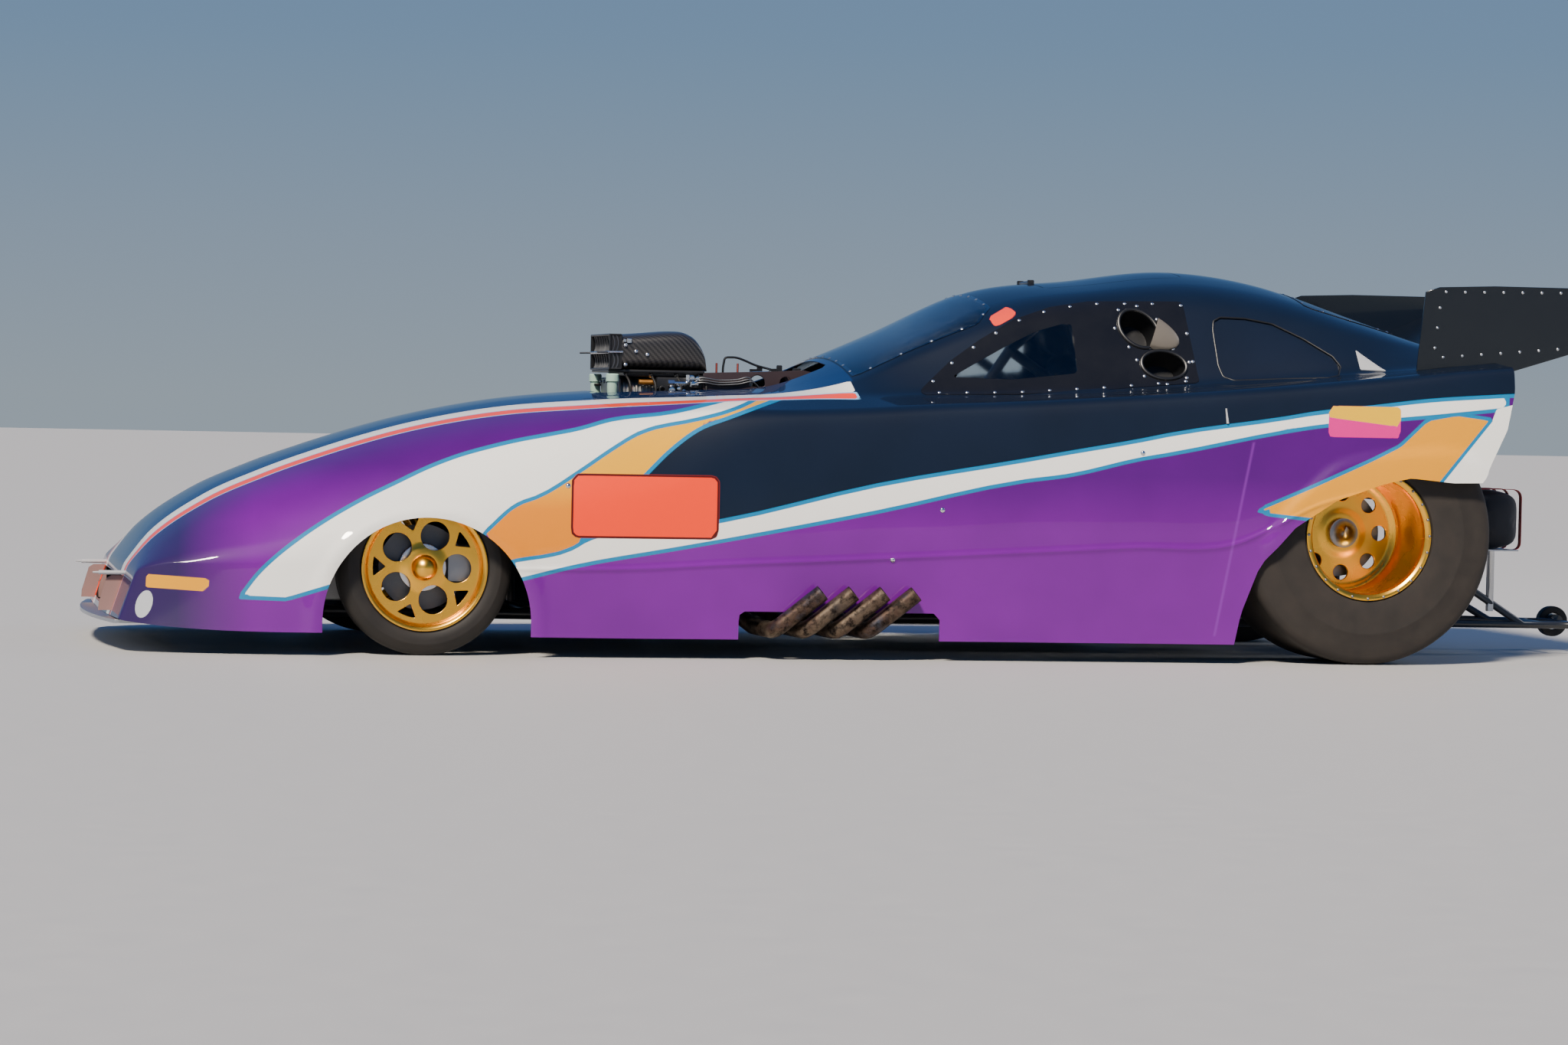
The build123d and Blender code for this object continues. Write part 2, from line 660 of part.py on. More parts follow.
def frame_tubes():
    """Rails, uprights and cross tubes of the frame."""
    half, low, high = RAIL_HALF, RAIL_LOW, RAIL_HIGH
    nose, waist, cowl, dash = front(RAIL_NOSE), front(450), front(1450), front(1750)
    hoop, tail = rear(HOOP_X), rear(FRAME_END)
    right = [
        ((nose, NOSE_HALF, low), (waist, half, low), RAIL_RADIUS),
        ((waist, half, low), (tail, half, low), RAIL_RADIUS),
        ((nose, NOSE_HALF, high), (waist, half, high), RAIL_RADIUS),
        ((waist, half, high), (cowl, half, high), RAIL_RADIUS),
        ((cowl, half, high), (dash, half, DASH_HEIGHT), RAIL_RADIUS),
        ((dash, half, DASH_HEIGHT), (hoop, half, WAIST_HEIGHT), RAIL_RADIUS),
        ((hoop, half, WAIST_HEIGHT), (tail, HINGE_HALF, TAIL_HEIGHT), RAIL_RADIUS),
        ((tail, half, low), (tail, HINGE_HALF, TAIL_HEIGHT), BRACE_RADIUS),
        ((tail, HINGE_HALF, TAIL_HEIGHT), (rear(HINGE_BACK), POST_HALF, HINGE_HEIGHT), BRACE_RADIUS),
        ((nose, NOSE_HALF, low), (nose, NOSE_HALF, high), BRACE_RADIUS),
        ((waist, half, low), (waist, half, high), BRACE_RADIUS),
        ((cowl, half, low), (cowl, half, high), BRACE_RADIUS),
        ((dash, half, low), (dash, half, DASH_HEIGHT), BRACE_RADIUS),
        ((cowl, half, low), (dash, half, DASH_HEIGHT), BRACE_RADIUS),
        ((hoop, half, low), (hoop, half, WAIST_HEIGHT), BRACE_RADIUS),
    ]
    tubes = [rod(*spec) for spec in right]
    tubes += [mirrored(tube) for tube in tubes]
    crossings = [(nose, NOSE_HALF, low), (nose, NOSE_HALF, high), (waist, half, low), (dash, half, low),
                 (dash, half, DASH_HEIGHT), (hoop, half, low), (tail, half, low), (tail, HINGE_HALF, TAIL_HEIGHT)]
    for x, y, z in crossings:
        tubes.append(rod((x, -y, z), (x, y, z), BRACE_RADIUS))
    for x in TANK_BEARERS:
        y = NOSE_HALF + (half - NOSE_HALF) * (x - RAIL_NOSE) / (450 - RAIL_NOSE)
        tubes.append(rod((front(x), -y, low), (front(x), y, low), BRACE_RADIUS))
    return fused(tubes)


def cage_tubes():
    """Roll cage round the driver."""
    half, dash, hoop, tail = RAIL_HALF, front(1750), rear(HOOP_X), rear(FRAME_END)
    top = (hoop + 10, CAGE_TOP_HALF, CAGE_TOP)
    knee = (front(2080), half - 10, 1040)
    brow = (front(2260), CAGE_TOP_HALF + 10, CAGE_TOP - 35)
    right = [
        ((dash, half, DASH_HEIGHT), knee),
        (knee, brow),
        (brow, top),
        ((hoop, half, WAIST_HEIGHT), (hoop, half, 950)),
        ((hoop, half, 950), top),
        (top, (tail, HINGE_HALF, TAIL_HEIGHT)),
        ((hoop, half, WAIST_HEIGHT), knee),
    ]
    tubes = [rod(a, b, CAGE_RADIUS) for a, b in right]
    for corner in (knee, brow, top, (hoop, half, 950)):
        tubes.append(Solid.make_sphere(CAGE_RADIUS + WELD_RISE).translate(corner))
    tubes += [mirrored(tube) for tube in tubes]
    for x, y, z in (top, brow):
        tubes.append(rod((x, -y, z), (x, y, z), CAGE_RADIUS))
    return fused(tubes)


def chassis_group():
    """Frame, cage, cockpit, tank and hinge pins."""
    frame = frame_tubes()
    x, z = rear(HINGE_BACK), HINGE_HEIGHT
    pin_start = POST_HALF - BRACE_RADIUS
    pin = rod((x, pin_start, z), (x, HINGE_HALF + HINGE_PLATE, z), HINGE_PIN_RADIUS)
    frame = fused([frame, pin, mirrored(pin)])
    save("frame_rails", frame)
    cage = cage_tubes() - frame
    save("roll_cage", cage)
    cockpit(frame)
    tank_low = RAIL_LOW + BRACE_RADIUS + SEAT_GAP
    tank = block(front(TANK_START), front(TANK_END), -TANK_HALF, TANK_HALF, tank_low, tank_low + TANK_HEIGHT)
    tank = tank.fillet(25, tank.edges().filter_by(Axis.X))
    neck = rod((front(TANK_END) - 80, 0, tank_low + TANK_HEIGHT - 5),
               (front(TANK_END) - 80, 0, tank_low + TANK_HEIGHT + 30), 30)
    save("fuel_tank", tank.fuse(neck))
    front_axle(frame)
    wheelie_bar(frame)
    return frame


def cockpit(frame):
    """Floor, firewall, side sheets, seat and steering column."""
    x0, x1 = front(FIREWALL), rear(TUB_END)
    top = RAIL_LOW - RAIL_RADIUS - SEAT_GAP
    floor = block(x0, x1, -RAIL_HALF, RAIL_HALF, top - SHEET, top)
    wall = block(x0, x0 + SHEET, -TUB_HALF, TUB_HALF, top, TUB_TOP)
    wall -= rod((x0 - 10, 0, CRANK_HEIGHT), (x0 + 20, 0, CRANK_HEIGHT), GEARBOX_RADIUS + 10)
    sheet = block(x0, x1, TUB_HALF - SHEET, TUB_HALF, top, TUB_TOP)
    save("cockpit_tub", fused([floor, wall, sheet, mirrored(sheet)]) - frame)
    half = SEAT_HALF
    seat = side_prism(at_rear([(-1010, 400), (-995, 355), (-640, 350), (-600, 420), (-500, 930),
                               (-535, 960), (-575, 940), (-680, 440), (-985, 405)]), -half, half)
    bolster = side_prism(at_rear([(-1000, 358), (-640, 352), (-600, 420), (-505, 925), (-560, 930),
                                  (-700, 800), (-760, 520), (-990, 470)]), half - 15, half)
    ear = block(rear(-900), rear(-840), half - 5, TUB_HALF - SHEET - SEAT_GAP, 380, 440)
    save("driver_seat", fused([seat, bolster, mirrored(bolster), ear, mirrored(ear)]))
    foot, head = (front(COLUMN_FOOT), 0, COLUMN_LOW), (front(YOKE_PLACE), 0, YOKE_HEIGHT)
    column = rod(foot, head, 12)
    clamp_top = 640
    clamp = block(front(1738), front(1762), -16, 16, DASH_HEIGHT, clamp_top) - frame
    x, half, z = front(YOKE_PLACE), YOKE_HALF, YOKE_HEIGHT + 30
    grips = [rod((x, -half, z), (x, half, z), YOKE_RADIUS),
             rod((x, -half, z), (x - 8, -half - 10, z - YOKE_DROP), YOKE_RADIUS),
             rod((x, half, z), (x - 8, half + 10, z - YOKE_DROP), YOKE_RADIUS),
             block(x - 8, x + 4, -40, 40, YOKE_HEIGHT - 15, z + 5)]
    save("steering_column", fused([column, clamp] + grips))


def front_axle(frame):
    """Tubular front axle with its kingpins, clamps and the steering rack's housing."""
    z, half = FRONT_TIRE_RADIUS, KINGPIN_HALF
    tube = rod((front(0), -half, z), (front(0), half, z), 25)
    parts = [tube]
    boss = rod((front(0), half, z - BOSS_HALF), (front(0), half, z + BOSS_HALF), BOSS_RADIUS)
    pin = rod((front(0), half, z - PIN_HALF), (front(0), half, z + PIN_HALF), KINGPIN_RADIUS)
    rail_y = NOSE_HALF + (RAIL_HALF - NOSE_HALF) * -RAIL_NOSE / (450 - RAIL_NOSE)
    clamp = block(front(-22), front(22), rail_y - 14, rail_y + 14, z, RAIL_HIGH) - frame
    parts += [boss, mirrored(boss), pin, mirrored(pin), clamp, mirrored(clamp)]
    x, rz = front(STEER_ARM), RACK_HEIGHT
    case = rod((x, -RACK_CASE_HALF, rz), (x, RACK_CASE_HALF, rz), 20)
    bore = rod((x, -2 * RACK_CASE_HALF, rz), (x, 2 * RACK_CASE_HALF, rz), RACK_RADIUS + RUNNING_FIT)
    hanger = block(x - 8, x + 8, RACK_CASE_HALF - 20, rail_y + 20, rz, RAIL_HIGH) - frame
    axle = fused(parts)
    save("front_axle", axle, fused([case, hanger, mirrored(hanger)]) - bore - axle)
    rack = rod((x, -KINGPIN_HALF + ARM_INBOARD, rz), (x, KINGPIN_HALF - ARM_INBOARD, rz), RACK_RADIUS)
    end = KINGPIN_HALF - ARM_INBOARD
    eye = rod((x, end, rz - ROD_EYE_HALF), (x, end, rz + ROD_EYE_HALF), 14)
    save("tie_rods", fused([rack, eye, mirrored(eye)]))


def knuckle():
    """Right knuckle: eyes on the kingpin, upright, spindle, caliper and steering arm."""
    x, y, z = front(0), KINGPIN_HALF, FRONT_TIRE_RADIUS
    solids = []
    for low in (z + BOSS_HALF + SEAT_GAP, z - BOSS_HALF - SEAT_GAP - EYE_HEIGHT):
        solids.append(rod((x, y, low), (x, y, low + EYE_HEIGHT), BOSS_RADIUS))
        solids.append(block(x - 15, x + 15, y, y + UPRIGHT_OUT + 2, low, low + EYE_HEIGHT))
    top = BOSS_HALF + SEAT_GAP + EYE_HEIGHT
    plate = block(x - 30, x + 30, y + UPRIGHT_OUT, y + UPRIGHT_OUT + 10, z - top, z + top)
    arm = block(x + 28, x + 95, y + UPRIGHT_OUT, y + UPRIGHT_OUT + 10, z - 30, z + 30)
    rotor = FRONT_TRACK / 2 - ROTOR_INSET
    caliper = block(x + 85, x + 168, y + UPRIGHT_OUT + 5, rotor + 25, z - 45, z + 45)
    slot = block(x + 60, x + ROTOR_RADIUS + 7, rotor - ROTOR_THICK / 2 - SWING_GAP,
                 rotor + ROTOR_THICK / 2 + SWING_GAP, z - 60, z + 60)
    spindle = rod((x, y + UPRIGHT_OUT + 8, z), (x, FRONT_TRACK / 2 + 50, z), SPINDLE_RADIUS)
    tip_x, tip_y = x + STEER_ARM, y - ARM_INBOARD
    steer = rod((x, y + 5, ARM_HEIGHT), (tip_x, tip_y, ARM_HEIGHT), ARM_RADIUS)
    pad = rod((tip_x, tip_y, ARM_HEIGHT - PAD_HALF), (tip_x, tip_y, ARM_HEIGHT + PAD_HALF), 14)
    bore = rod((x, y, z - 2 * top), (x, y, z + 2 * top), KINGPIN_RADIUS + RUNNING_FIT)
    keep_clear = rod((x, y, z - BOSS_HALF - SEAT_GAP), (x, y, z + BOSS_HALF + SEAT_GAP), BOSS_RADIUS + SWING_GAP)
    return fused(solids + [plate, arm, caliper - slot, spindle, steer, pad]) - bore - keep_clear


def front_wheel():
    """Right front rim, tyre and hub with its brake disc."""
    x, y, z = front(0), FRONT_TRACK / 2, FRONT_TIRE_RADIUS
    w, seat, rise = FRONT_RIM_WIDTH / 2, FRONT_RIM_SEAT, FRONT_FLANGE_RISE
    flange = seat + rise
    rim = turned([(-w - FRONT_LIP, flange), (-w, flange), (-w, seat), (w, seat), (w, flange),
                  (w + FRONT_LIP, flange), (w + FRONT_LIP, seat - FRONT_LIP), (-w - FRONT_LIP, seat - FRONT_LIP)],
                 x, y, z)
    disc_y = y + FRONT_DISC_OFFSET
    disc = rod((x, disc_y, z), (x, disc_y + FRONT_DISC_THICK, z), seat - 2)
    for k in range(WHEEL_HOLES):
        angle = radians(HOLE_START + 360 / WHEEL_HOLES * k)
        cx, cz = x + HOLE_CIRCLE * cos(angle), z + HOLE_CIRCLE * sin(angle)
        disc -= oval(cx, cz, HOLE_RADIUS, disc_y - 5, disc_y + FRONT_DISC_THICK + 5)
    disc -= oval(x, z, FRONT_HUB_RADIUS + SEAT_GAP, disc_y - 5, disc_y + FRONT_DISC_THICK + 5)
    save_side("front_rim", rim.fuse(disc))
    r, t = FRONT_TIRE_RADIUS, FRONT_TIRE_WIDTH / 2
    bead = w - SEAT_GAP
    tire = turned([(-bead, seat + SEAT_GAP), (bead, seat + SEAT_GAP), (bead, flange + 2),
                   ((t, (flange + r) / 2), (t - 8, r - 16)), ((t - 12, r - 5), (t - 22, r)),
                   (22 - t, r), ((12 - t, r - 5), (8 - t, r - 16)),
                   ((-t, (flange + r) / 2), (-bead, flange + 2))], x, y, z)
    save_side("front_tire", tire)
    hub_start, hub_end = y - 60, y + 46
    hub = rod((x, hub_start, z), (x, hub_end, z), FRONT_HUB_RADIUS)
    rotor_y = y - ROTOR_INSET
    rotor = rod((x, rotor_y - ROTOR_THICK / 2, z), (x, rotor_y + ROTOR_THICK / 2, z), ROTOR_RADIUS)
    cap = turned([(0, 0), (0, 30), (14, 26), (24, 14), (27, 0)], x, hub_end - 2, z)
    bore = rod((x, hub_start - 5, z), (x, y + 50 + SEAT_GAP, z), SPINDLE_RADIUS + RUNNING_FIT)
    save_side("front_hub", fused([hub, rotor, cap]) - bore)


def save_side(name, shape):
    """Write a right-hand shape and its mirror image as two nodes."""
    save(name + "_right", shape)
    save(name + "_left", mirrored(shape))


def rear_wheels():
    """Rear rims, slicks and the shaft that joins them."""
    x, y, z = rear(0), REAR_TRACK / 2, SLICK_RADIUS
    w, seat = REAR_RIM_WIDTH / 2, REAR_RIM_SEAT
    flange, lip = seat + REAR_FLANGE_RISE, REAR_LIP
    rim = turned([(-w - lip, flange), (-w, flange), (-w, seat), (w, seat), (w, flange), (w + lip, flange),
                  (w + lip, seat - lip), (-w - lip, seat - lip)], x, y, z)
    web_y = y - REAR_WEB_INSET
    web = rod((x, web_y, z), (x, web_y + REAR_WEB_THICK, z), seat - 2)
    web -= oval(x, z, AXLE_SHAFT_RADIUS + SEAT_GAP, web_y - 5, web_y + REAR_WEB_THICK + 5)
    for k in range(REAR_HOLES):
        angle = 2 * pi / REAR_HOLES * k
        cx, cz = x + REAR_HOLE_CIRCLE * cos(angle), z + REAR_HOLE_CIRCLE * sin(angle)
        web -= oval(cx, cz, REAR_HOLE_RADIUS, web_y - 5, web_y + REAR_WEB_THICK + 5)
    save_side("rear_rim", rim.fuse(web))
    r, t, bead = SLICK_RADIUS, SLICK_WIDTH / 2, w - SEAT_GAP
    slick = turned([(-bead, seat + SEAT_GAP), (bead, seat + SEAT_GAP), (bead, flange + 2),
                    ((t, (flange + r) / 2), (t - 6, r - 26)), ((t - 9, r - 8), (t - 26, r)),
                    (26 - t, r), ((9 - t, r - 8), (6 - t, r - 26)),
                    ((-t, (flange + r) / 2), (-bead, flange + 2))], x, y, z)
    save_side("rear_tire", slick)
    end = web_y + REAR_WEB_THICK + 40
    shaft = rod((x, -end, z), (x, end, z), AXLE_SHAFT_RADIUS)
    flange_plate = rod((x, web_y - 14 - SEAT_GAP, z), (x, web_y - SEAT_GAP, z), 70)
    disc = rod((x, web_y - 50, z), (x, web_y - 38, z), 150)
    nose = rod((x, web_y + REAR_WEB_THICK + SEAT_GAP, z), (x, web_y + REAR_WEB_THICK + 24, z), 50)
    pieces = [shaft]
    for piece in (flange_plate, disc, nose, rod((x, web_y - 50, z), (x, web_y - 10, z), 45)):
        pieces += [piece, mirrored(piece)]
    save("axle_shaft", fused(pieces))
    center = block(x - 160, x + 130, -130, 130, z - 125, z + 125)
    center = center.fillet(50, center.edges().filter_by(Axis.Y))
    tubes = rod((x, -HOUSING_END, z), (x, HOUSING_END, z), HOUSING_RADIUS)
    bore = rod((x, -HOUSING_END - 5, z), (x, HOUSING_END + 5, z), AXLE_SHAFT_RADIUS + RUNNING_FIT)
    plate = block(x - 60, x + 60, RAIL_HALF - 8, RAIL_HALF + 8, RAIL_LOW + RAIL_RADIUS + SEAT_GAP, z + 60)
    save("rear_axle_housing", fused([center, tubes, plate, mirrored(plate)]) - bore)


def engine_group():
    """Engine block, heads, covers, blower, hat, drive, headers and driveline."""
    x0, x1 = front(ENGINE_START), front(ENGINE_START + ENGINE_LENGTH)
    low, high = DECK_SPAN * cos(radians(45)), DECK_SPAN * sin(radians(45))
    right = [(PAN_HALF, PAN_LOW), (PAN_HALF, 215), (215, 250), (215, DECK_Z - high - (DECK_HALF + low - 215)),
             (DECK_HALF + low, DECK_Z - high), (DECK_HALF - low, DECK_Z + high), (60, VALLEY)]
    left = [(-y, z) for y, z in reversed(right)]
    block_solid = cross_prism(right + left, x0, x1)
    snout = rod((front(BELT_START), 0, CRANK_HEIGHT), (x0 + 1, 0, CRANK_HEIGHT), 25)
    save("engine_block", block_solid.fuse(snout))
    slant = Vector(0, cos(radians(45)), sin(radians(45)))
    along = Vector(0, cos(radians(45)), -sin(radians(45)))

    def bank_block(low, high, half, start, end):
        """A bar along the right bank between two heights above its deck."""
        deck = Vector(0, DECK_HALF, DECK_Z)
        corners = [deck + along * s + slant * h for s, h in ((-half, low), (half, low), (half, high), (-half, high))]
        return cross_prism([(c.Y, c.Z) for c in corners], start, end)

    head = bank_block(0, HEAD_THICK, HEAD_WIDTH / 2, x0 + 20, x1 - 20)
    save("cylinder_heads", head, mirrored(head))
    cover = bank_block(HEAD_THICK, HEAD_THICK + COVER_THICK, HEAD_WIDTH / 2 - 15, x0 + 30, x1 - 30)
    cover = cover.fillet(18, cover.edges().filter_by(Axis.X))
    save("valve_covers", cover, mirrored(cover))
    b0, b1 = front(BLOWER_START), front(BLOWER_START + BLOWER_LENGTH)
    manifold = cross_prism([(-60, VALLEY), (60, VALLEY), (110, 560), (130, BLOWER_LOW), (-130, BLOWER_LOW),
                            (-110, 560)], x0 + 30, x1 - 30)
    save("intake_manifold", manifold)
    middle = (BLOWER_LOW + BLOWER_TOP) / 2
    case = block(b0, b1, -BLOWER_HALF + 20, BLOWER_HALF - 20, BLOWER_LOW, BLOWER_TOP)
    lobe = rod((b0 + 12, 65, middle), (b1 - 12, 65, middle), BLOWER_HALF - 65)
    ends = [block(b0, b0 + 20, -BLOWER_HALF, BLOWER_HALF, BLOWER_LOW, BLOWER_TOP - 10),
            block(b1 - 20, b1, -BLOWER_HALF, BLOWER_HALF, BLOWER_LOW, BLOWER_TOP - 10)]
    shaft = rod((front(BELT_START), 0, DRIVE_HEIGHT), (b0 + 5, 0, DRIVE_HEIGHT), 30)
    save("blower", fused([case, lobe, mirrored(lobe), shaft] + ends))
    belt_x0, belt_x1 = front(BELT_START), front(BELT_START) + BELT_WIDTH
    rings = []
    for radius in (PULLEY_RADIUS + BELT_THICK, PULLEY_RADIUS + SEAT_GAP):
        loop = fused([rod((belt_x0, 0, CRANK_HEIGHT), (belt_x1, 0, CRANK_HEIGHT), radius),
                      rod((belt_x0, 0, DRIVE_HEIGHT), (belt_x1, 0, DRIVE_HEIGHT), radius),
                      block(belt_x0, belt_x1, -radius, radius, CRANK_HEIGHT, DRIVE_HEIGHT)])
        rings.append(loop)
    save("drive_belt", rings[0] - rings[1])
    wheels = []
    for z, hub in ((CRANK_HEIGHT, 25), (DRIVE_HEIGHT, 30)):
        disc = rod((belt_x0 + 3, 0, z), (belt_x1 - 3, 0, z), PULLEY_RADIUS)
        wheels.append(disc - rod((belt_x0 - 5, 0, z), (belt_x1 + 5, 0, z), hub + SEAT_GAP))
    save("drive_pulleys", *wheels)
    injector_hat()
    headers()
    bell_end = x1 + BELL_LENGTH
    bell = rod((x1, 0, CRANK_HEIGHT), (bell_end, 0, CRANK_HEIGHT), BELL_RADIUS)
    gearbox = rod((bell_end - 2, 0, CRANK_HEIGHT), (bell_end + GEARBOX_LENGTH, 0, CRANK_HEIGHT), GEARBOX_RADIUS)
    coupler = rod((bell_end + GEARBOX_LENGTH - 5, 0, CRANK_HEIGHT), (rear(-158), 0, PINION_HEIGHT), 32)
    line = fused([bell, gearbox, coupler])
    pinion_space = block(rear(-160), rear(0), -130, 130, 200, 600)
    save("driveline", line - pinion_space)


def injector_hat():
    """Air scoop on the blower: a framed inlet with butterflies and a rounded body."""
    x0, x1, x2 = front(HAT_START), front(HAT_START + HAT_INLET), front(HAT_END)
    crown = HAT_TOP - HAT_BASE
    body = side_prism([(x1, HAT_BASE), (x2, HAT_BASE), ((x2 - 30, HAT_TOP - 42), (x2 - crown + 20, HAT_TOP)),
                       (x1, HAT_TOP - 8)], -HAT_HALF, HAT_HALF)
    body = body.fillet(28, body.edges().filter_by(Axis.X))
    base = block(front(BLOWER_START) + 30, x2 - 40, -BLOWER_HALF, BLOWER_HALF, BLOWER_TOP, HAT_BASE)
    frame_box = block(x0, x1, -HAT_HALF, HAT_HALF, HAT_BASE, HAT_TOP - 8)
    frame_box -= block(x0 - 5, x1 - HAT_WALL, -HAT_HALF + HAT_WALL, HAT_HALF - HAT_WALL,
                       HAT_BASE + HAT_WALL, HAT_TOP - 8 - HAT_WALL)
    middle = (HAT_BASE + HAT_TOP - 8) / 2
    shelf = block(x0, x1, -HAT_HALF, HAT_HALF, middle - 4, middle + 4)
    vanes = []
    for k in range(1, HAT_VANES):
        y = -HAT_HALF + 2 * HAT_HALF * k / HAT_VANES
        vanes.append(block(x0 + 6, x1 - 2, y - 2, y + 2, HAT_BASE + 2, HAT_TOP - 10))
    save("injector_hat", fused([body, base, frame_box, shelf] + vanes))


def head_port():
    """Half width and height of the middle of a head's exhaust face."""
    reach, rise = HEAD_WIDTH / 2 * cos(radians(45)), HEAD_THICK / 2 * sin(radians(45))
    return DECK_HALF + reach + rise + 0.1, DECK_Z - reach + rise - 0.1


def headers():
    """Four pipes a side that sweep down, out under the skirt and up behind it."""
    pipes = []
    half, height = head_port()
    for k in range(PIPE_COUNT):
        port = front(ENGINE_START + PORT_FIRST + PORT_PITCH * k)
        tip = front(PIPE_START + PIPE_RUN + PIPE_PITCH * k)
        points = [(port, half, height), (port, half + PIPE_DROP, height - PIPE_DROP), (tip - 190, 760, 105),
                  (tip - 150, PIPE_TURN_HALF, 98), (tip, PIPE_TIP_HALF, PIPE_TIP_Z)]
        path = FilletPolyline(*points, radius=PIPE_BEND)
        start = Plane(points[0], z_dir=Vector(0, 1, -1))
        pipe = sweep(start * Circle(PIPE_RADIUS), path=path).solids()[0]
        end = Vector(*points[4])
        back = (end - Vector(*points[3])).normalized()
        pipe -= Solid.make_cylinder(PIPE_BORE, PIPE_DEPTH, Plane(end - back * PIPE_DEPTH, z_dir=back)).fuse(
            Solid.make_cylinder(PIPE_BORE, 10, Plane(end - back, z_dir=back)))
        pipes.append(pipe)
    save("headers_right", *pipes)
    save("headers_left", *[mirrored(pipe) for pipe in pipes])


def wheelie_bar(frame):
    """Struts behind the rear axle, their wheels, and the tray with the parachute packs."""
    x, z = rear(REAR_REACH) - BAR_WHEEL_RADIUS, BAR_WHEEL_HEIGHT
    inner = BAR_WHEEL_HALF - BAR_WHEEL_WIDTH / 2 - SWING_GAP
    tail = rear(FRAME_END)
    start = Vector(tail, RAIL_HALF, RAIL_LOW)
    end = Vector(x, inner - BAR_RADIUS, z)
    knee = Vector(x - 2 * BAR_WHEEL_RADIUS, inner - BAR_RADIUS, z)
    brace = start + (knee - start) * BRACE_MEETS
    right = [(start, knee), (Vector(tail, 270, 430), brace), (knee, end)]
    tubes = [rod(a, b, BAR_RADIUS) for a, b in right]
    lug = rod((x, inner - 20, z), (x, inner, z), 26)
    tubes += [lug]
    tubes += [mirrored(tube) for tube in tubes]
    for share in (0.45, 0.95):
        point = start + (knee - start) * share
        tubes.append(rod((point.X, -point.Y, point.Z), point, BAR_RADIUS - 2))
    bar = fused(tubes) - frame
    bar -= rod((x, -300, z), (x, 300, z), BAR_AXLE_RADIUS + RUNNING_FIT)
    save("wheelie_bar", bar)
    wheel = turned([(-BAR_WHEEL_WIDTH / 2, 0), (-BAR_WHEEL_WIDTH / 2, BAR_WHEEL_RADIUS - 5),
                    (-BAR_WHEEL_WIDTH / 2 + 5, BAR_WHEEL_RADIUS), (BAR_WHEEL_WIDTH / 2 - 5, BAR_WHEEL_RADIUS),
                    (BAR_WHEEL_WIDTH / 2, BAR_WHEEL_RADIUS - 5), (BAR_WHEEL_WIDTH / 2, 0)],
                   x, BAR_WHEEL_HALF, z)
    axle = rod((x, -BAR_WHEEL_HALF - 30, z), (x, BAR_WHEEL_HALF + 30, z), BAR_AXLE_RADIUS)
    save("wheelie_wheels", fused([axle, wheel, mirrored(wheel)]))
    p0, p1 = rear(PACK_START), rear(PACK_START + PACK_LENGTH)
    tray = block(p0 - 10, p1 - 20, -PACK_HALF - PACK_WIDTH / 2, PACK_HALF + PACK_WIDTH / 2,
                 PACK_FLOOR - TRAY_THICK - SEAT_GAP, PACK_FLOOR - SEAT_GAP)
    legs = []
    for dx in (10, 180):
        legs.append(block(p0 + dx, p0 + dx + 20, 150, 235, z + 50, PACK_FLOOR - TRAY_THICK))
    strut = rod(*right[1], BAR_RADIUS)
    legs = [(leg & strut_top(strut, leg)) for leg in legs]
    save("parachute_tray", fused([tray] + legs + [mirrored(leg) for leg in legs]) - bar)
    packs = []
    for y in (-PACK_HALF, PACK_HALF):
        pack = block(p0, p1, y - PACK_WIDTH / 2, y + PACK_WIDTH / 2, PACK_FLOOR, PACK_FLOOR + PACK_HEIGHT)
        packs.append(pack.fillet(30, pack.edges().filter_by(Axis.X)))
    save("parachute_packs", *packs)


def strut_top(strut, leg):
    """The space straight above a strut, as wide as its tube."""
    box = strut.bounding_box()
    return block(box.min.X, box.max.X, leg.center().Y - 12, leg.center().Y + 12, box.min.Z, 1000)


body_group()
chassis_group()
engine_group()
save_side("knuckle", knuckle())
front_wheel()
rear_wheels()
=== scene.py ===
"""Looks of a supercharged drag racing car with a lift-up body.

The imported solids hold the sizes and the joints. This script draws the surfaces that show.
Lengths here are millimetres until make() turns them into metres.
+X runs to the tail, +Z is up and the car's left side is at -Y.
"""

import json
import math

import bmesh
import bpy
import numpy as np
from mathutils import Matrix, Vector


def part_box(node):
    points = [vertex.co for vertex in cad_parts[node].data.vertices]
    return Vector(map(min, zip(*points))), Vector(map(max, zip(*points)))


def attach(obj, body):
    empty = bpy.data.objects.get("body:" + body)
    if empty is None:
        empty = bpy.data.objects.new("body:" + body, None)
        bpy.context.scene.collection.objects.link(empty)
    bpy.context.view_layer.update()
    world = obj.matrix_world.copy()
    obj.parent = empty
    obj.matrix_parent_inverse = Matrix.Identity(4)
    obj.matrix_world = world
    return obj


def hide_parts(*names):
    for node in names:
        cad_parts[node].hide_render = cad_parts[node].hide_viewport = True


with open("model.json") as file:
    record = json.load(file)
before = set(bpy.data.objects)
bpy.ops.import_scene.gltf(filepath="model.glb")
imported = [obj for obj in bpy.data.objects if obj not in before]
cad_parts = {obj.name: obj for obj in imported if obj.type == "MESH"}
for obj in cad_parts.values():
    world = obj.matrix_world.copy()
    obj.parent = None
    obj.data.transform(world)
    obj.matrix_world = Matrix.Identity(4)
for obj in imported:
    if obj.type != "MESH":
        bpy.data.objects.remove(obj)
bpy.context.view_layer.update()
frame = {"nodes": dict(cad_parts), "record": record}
NODES = frame["nodes"]
BODY_OF = {node: body for body, nodes in frame["record"]["behaviour"]["bodies"].items() for node in nodes}
MM = 0.001
SIDES = (("left", -1), ("right", 1))


def corners(node):
    """A node's lowest and highest corner in millimetres."""
    low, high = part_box(node)
    return np.array(low) / MM, np.array(high) / MM


